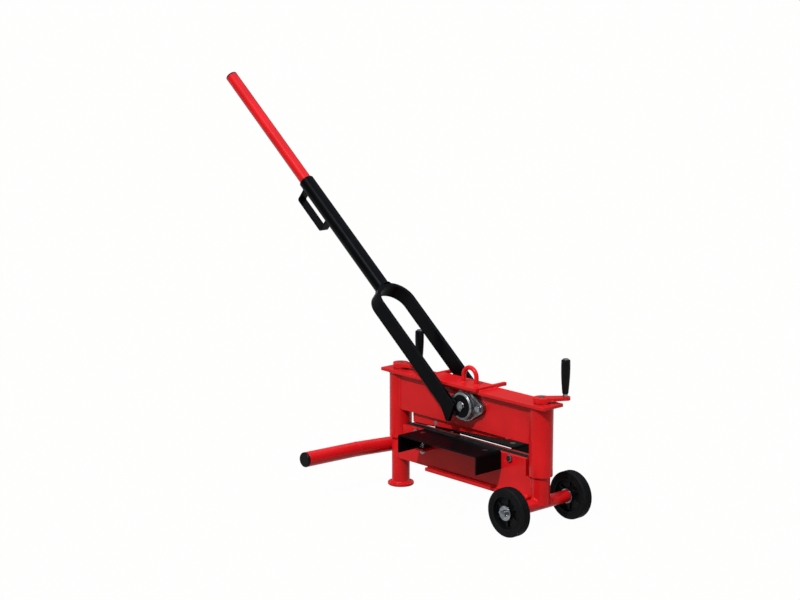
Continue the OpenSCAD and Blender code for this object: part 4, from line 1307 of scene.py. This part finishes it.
@dataclass
class CrankGrip:
    """A turning grip on its crank's stud."""

    left: Pair = (58.4622, 13.4971)
    right: Pair = (552.6783, 50.3202)
    low_z: float = 344.0
    length: float = 86.0
    low_r: float = 8.0
    high_r: float = 11.3
    bore_r: float = 4.05
    round_r: float = 1.6
    swell_turn: float = 2.0
    # Plain length at each end, before the swell
    end_l: float = 2.0
    segments: int = 72

    def shell(self, stud: Pair) -> Shell:
        """A slow swell from the crank to the hand, widest below the flat top.

        Args:
            stud: Place of the stud, in X and Y.

        Returns:
            The grip in the model's frame.
        """
        t = np.linspace(0.0, 1.0, 30)
        swell = np.sin(self.swell_turn * t) / math.sin(self.swell_turn)
        radius = self.low_r + (self.high_r - self.low_r) * swell
        body = np.stack([radius, self.end_l + t * (self.length - 2 * self.end_l)], axis=1)
        turn = np.radians(np.linspace(15.0, 90.0, 6))
        bend = self.round_r * np.stack([np.cos(turn), np.sin(turn) - 1.0], axis=1)
        head = bend + [self.high_r - self.round_r, self.length]
        foot = [[self.bore_r, 0.0], [self.low_r - 1.6, 0.0], [self.low_r - 0.4, 0.6]]
        profile = np.vstack([foot, body, head, [[self.bore_r, self.length]]])
        return lathe(profile, self.segments).moved(np.eye(3), (*stud, self.low_z))


@dataclass
class TableSprings:
    """The coil springs under the two tables."""

    xs: Pair = (140.0, 372.0)
    out_y: float = 50.0
    low: float = 139.1
    rise: float = 35.8
    mean_r: float = 7.5
    wire_r: float = 1.0
    turns: int = 6
    turn_points: int = 36
    # How far the pitch leaves an even one at the closed ends
    ease: float = 0.045
    seat_z: float = 138.0
    travel: float = 12.0
    height: float = 38.0

    def coil(self, x: float, y: float) -> Shell:
        """A helix of round wire whose first and last turns lie flatter, as closed ends do.

        Args:
            x: Place of the spring.
            y: Place of the spring.

        Returns:
            The spring in the model's frame.
        """
        t = np.linspace(0.0, 1.0, self.turns * self.turn_points + 1)
        z = self.low + self.rise * (t - self.ease * np.sin(TAU * t))
        angle = TAU * self.turns * t
        path = [x + self.mean_r * np.cos(angle), y + self.mean_r * np.sin(angle), z]
        return tube(np.stack(path, axis=1), self.wire_r)


@dataclass
class SplitPins:
    """The pins that hold the wheels on the axle: a doubled wire with an eye and two bent legs."""

    x: float = 520.0
    y: float = 130.4
    z: float = 62.5
    wire_r: float = 0.75
    half: float = 11.0
    eye_r: float = 2.6
    # Half the distance between the two legs
    gap: float = 0.75

    def pin(self, side: int) -> Shell:
        """One pin: along one leg, round the eye, and back along the other.

        Args:
            side: -1 for the front wheel and 1 for the rear.

        Returns:
            The pin in the model's frame.
        """
        share = np.linspace(0.0, 1.0, 16)[:, None]
        foot = np.array([self.gap + 3.0, 0.0, -self.half - 1.5])
        bend = np.array([self.gap, 0.0, -self.half + 2.0])
        neck = np.array([self.gap, 0.0, self.half - 1.0])
        turn = np.radians(np.linspace(-65.0, 245.0, 28))
        centre = self.half + 0.4 + self.eye_r
        eye_x, eye_z = self.eye_r * np.cos(turn), centre + self.eye_r * np.sin(turn)
        eye = np.stack([eye_x, 0 * turn, eye_z], axis=1)
        rising = np.vstack([foot + share * (bend - foot), bend + share[1:] * (neck - bend)])
        falling = rising[::-1] * [-1.0, 1.0, 1.0]
        level = np.array([[0, 0, -1.0], [0, 1.0, 0], [1.0, 0, 0]])
        wire = tube(np.vstack([rising, eye, falling]), self.wire_r)
        return wire.moved(level, (self.x, side * self.y, self.z))


@dataclass
class LowerBolts:
    """The bolts that hold the lower blade, on the front plate."""

    xs: Pair = (87.0, 433.0)
    face: float = -21.0
    z: float = 166.0

    def shell(self) -> Shell:
        """The two bolts.

        Returns:
            One shell of the bolts.
        """
        bolt = HexBolt(corners=18.0, head=6.4, shank=10.0, length=23.2).shell()
        return joined([bolt.moved(turned_to((0, -1, 0)), (x, self.face, self.z)) for x in self.xs])


# Studio


@dataclass
class Studio:
    """Plain pale floor, a soft key light from the front, and the camera of the photograph."""

    eye: Triple = (3957.7, -3608.2, 1585.9)
    azimuth: float = 47.67
    elevation: float = 11.40
    lens: float = 92.66
    sensor: float = 36.0
    # Reach of the view and half the floor's width, in metres
    far: float = 60.0
    span: float = 30.0
    floor: str = "#8A7E68"
    white: str = "#FFFFFF"
    glow_strength: float = 1.02
    glow_share: float = 0.96
    horizon: str = "#FFF4E4"
    zenith: str = "#D4DEFF"
    horizon_strength: float = 0.07
    zenith_strength: float = 2.2
    # Direction of each sun, its strength and its width in degrees
    key: tuple[Triple, float, float] = ((0.25, -0.83, 0.95), 3.05, 4.0)
    fill: tuple[Triple, float, float] = ((0.9, 0.2, 0.5), 0.3, 40.0)

    def build(self) -> None:
        """Makes the floor, the lights, the world and the camera."""
        self.make_camera()
        self.make_floor()
        self.make_lights()
        self.make_world()
        bpy.context.scene.view_settings.view_transform = "Standard"

    def make_camera(self) -> None:
        """Puts the camera where the photograph was taken from, level and without shift."""
        data = bpy.data.cameras.new("camera")
        data.sensor_fit = "HORIZONTAL"
        data.sensor_width = self.sensor
        data.lens = self.lens
        data.clip_end = self.far
        camera = bpy.data.objects.new("camera", data)
        a, e = math.radians(self.azimuth), math.radians(self.elevation)
        ahead = Vector((-math.sin(a) * math.cos(e), math.cos(a) * math.cos(e), -math.sin(e)))
        turn = ahead.to_track_quat("-Z", "Y").to_matrix().to_4x4()
        camera.matrix_world = Matrix.Translation(Vector(self.eye) * MM) @ turn
        bpy.context.scene.collection.objects.link(camera)
        bpy.context.scene.camera = camera

    def make_floor(self) -> None:
        """Lays a wide floor that shows near white to the camera and keeps the object's shadow."""
        mesh = bpy.data.meshes.new("floor")
        s = self.span
        mesh.from_pydata([(-s, -s, 0), (s, -s, 0), (s, s, 0), (-s, s, 0)], [], [(0, 1, 2, 3)])
        floor = bpy.data.objects.new("floor", mesh)
        bpy.context.scene.collection.objects.link(floor)
        made = bpy.data.materials.new("pale_floor")
        tree = empty_tree(made)
        matt = add_node(tree, "ShaderNodeBsdfDiffuse", {"Color": linear(self.floor)})
        light = {"Color": linear(self.white), "Strength": self.glow_strength}
        glow = add_node(tree, "ShaderNodeEmission", light)
        ray = add_node(tree, "ShaderNodeLightPath").outputs
        steps = Steps(tree)
        seen = steps.sum_up("MAXIMUM", ray["Is Camera Ray"], ray["Is Glossy Ray"])
        share = steps.sum_up("MULTIPLY", seen, self.glow_share)
        both = {0: share, 1: matt.outputs["BSDF"], 2: glow.outputs["Emission"]}
        mix = add_node(tree, "ShaderNodeMixShader", both)
        add_node(tree, "ShaderNodeOutputMaterial", {"Surface": mix.outputs["Shader"]})
        mesh.materials.append(made)

    def make_lights(self) -> None:
        """Hangs a soft sun high in front, a little to the right, and a weak fill from the right."""
        for name, (source, strength, spread) in (("key", self.key), ("fill", self.fill)):
            data = bpy.data.lights.new(name, "SUN")
            data.energy = strength
            data.angle = math.radians(spread)
            lamp = bpy.data.objects.new(name, data)
            lamp.matrix_world = Vector(source).to_track_quat("Z", "Y").to_matrix().to_4x4()
            bpy.context.scene.collection.objects.link(lamp)

    def make_world(self) -> None:
        """White to the camera, and to the rest a sky that brightens with the square of the height."""
        world = bpy.data.worlds.new("studio")
        bpy.context.scene.world = world
        tree = empty_tree(world)
        steps = Steps(tree, add_node(tree, "ShaderNodeTexCoord").outputs["Generated"])
        height = add_node(tree, "ShaderNodeSeparateXYZ", {"Vector": steps.place}).outputs["Z"]
        rise = steps.sum_up("POWER", steps.sum_up("MAXIMUM", height, 0.0), 2.0)
        tint = steps.mix(rise, self.horizon, self.zenith)
        level = steps.spread(rise, low=self.horizon_strength, high=self.zenith_strength)
        sky = add_node(tree, "ShaderNodeBackground", {"Color": tint, "Strength": level})
        plain = {"Color": linear(self.white), "Strength": 1.0}
        white = add_node(tree, "ShaderNodeBackground", plain)
        seen = add_node(tree, "ShaderNodeLightPath").outputs["Is Camera Ray"]
        both = {0: seen, 1: sky.outputs["Background"], 2: white.outputs["Background"]}
        mix = add_node(tree, "ShaderNodeMixShader", both)
        add_node(tree, "ShaderNodeOutputWorld", {"Surface": mix.outputs["Shader"]})


def make_pieces() -> None:
    """Builds every new piece, sets what it rides on, and what it stands for."""
    base, upper, lever = BaseFrame(), UpperFrame(), LeverArm()
    make_piece("base_welds", base.welds(), Body.BASE, Slot.RED_PAINT, WELD_SHARP)
    make_piece("upper_frame_welds", upper.welds(), Body.UPPER_FRAME, Slot.RED_PAINT, WELD_SHARP)
    make_piece("lever_welds", lever.welds(), Body.LEVER, Slot.BLACK_PAINT, WELD_SHARP)
    bolts = make_piece("housing_bolts", upper.bearing_bolts(), Body.UPPER_FRAME, Slot.ZINC)
    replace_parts(bolts, "bearing_bolts")
    rings = lever.on_both_faces(lever.ring())
    for name, shell, slot, node in (
        ("shaft_retaining_rings", rings, Slot.ZINC, "hub_fasteners"),
        ("hub_disc_bolts", lever.bolts(), Slot.BLACK_PAINT, "hub_fasteners"),
        ("hub_disc_faces", lever.disc_faces(), Slot.BLACK_PAINT, "hub_discs"),
        ("hub_disc_rims", lever.disc_rims(), Slot.CAST_ZINC, "hub_discs"),
    ):
        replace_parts(make_piece(name, shell, Body.LEVER, slot), node)
    blade_bolts = make_piece("blade_bolt_heads", LowerBolts().shell(), Body.BASE, Slot.ZINC)
    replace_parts(blade_bolts, "lower_blade_bolts")
    wheel = Wheel()
    for name, side, body in (("front", -1, Body.FRONT_WHEEL), ("rear", 1, Body.REAR_WHEEL)):
        tyre = make_piece(f"{name}_ribbed_tyre", wheel.placed(side), body, Slot.BLACK_RUBBER)
        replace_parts(tyre, f"{name}_tyre")
    grip = CrankGrip()
    for name, stud, body in (
        ("left", grip.left, Body.LEFT_GRIP),
        ("right", grip.right, Body.RIGHT_GRIP),
    ):
        handle = make_piece(f"{name}_moulded_grip", grip.shell(stud), body, Slot.BLACK_PLASTIC)
        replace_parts(handle, f"{name}_grip")
    springs = TableSprings()
    for name, side in (("front", -1), ("rear", 1)):
        for index, x in enumerate(springs.xs):
            y = side * springs.out_y
            shell = springs.coil(x, y)
            coil = make_piece(f"{name}_table_spring_{index + 1}", shell, Body.BASE, Slot.ZINC)
            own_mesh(coil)
            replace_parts(coil, f"{name}_table_springs")
    pins = joined([SplitPins().pin(side) for side in SIDES])
    pair = make_piece("axle_split_pins", pins, Body.BASE, Slot.ZINC)
    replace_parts(pair, "split_pins")


def main() -> None:
    """Dresses the CAD nodes, adds the pieces, and builds the studio."""
    logging.basicConfig(level=logging.INFO, format="%(name)s: %(message)s")
    Studio().build()
    Dresser().dress()
    make_pieces()


if __name__ == "__main__":
    main()
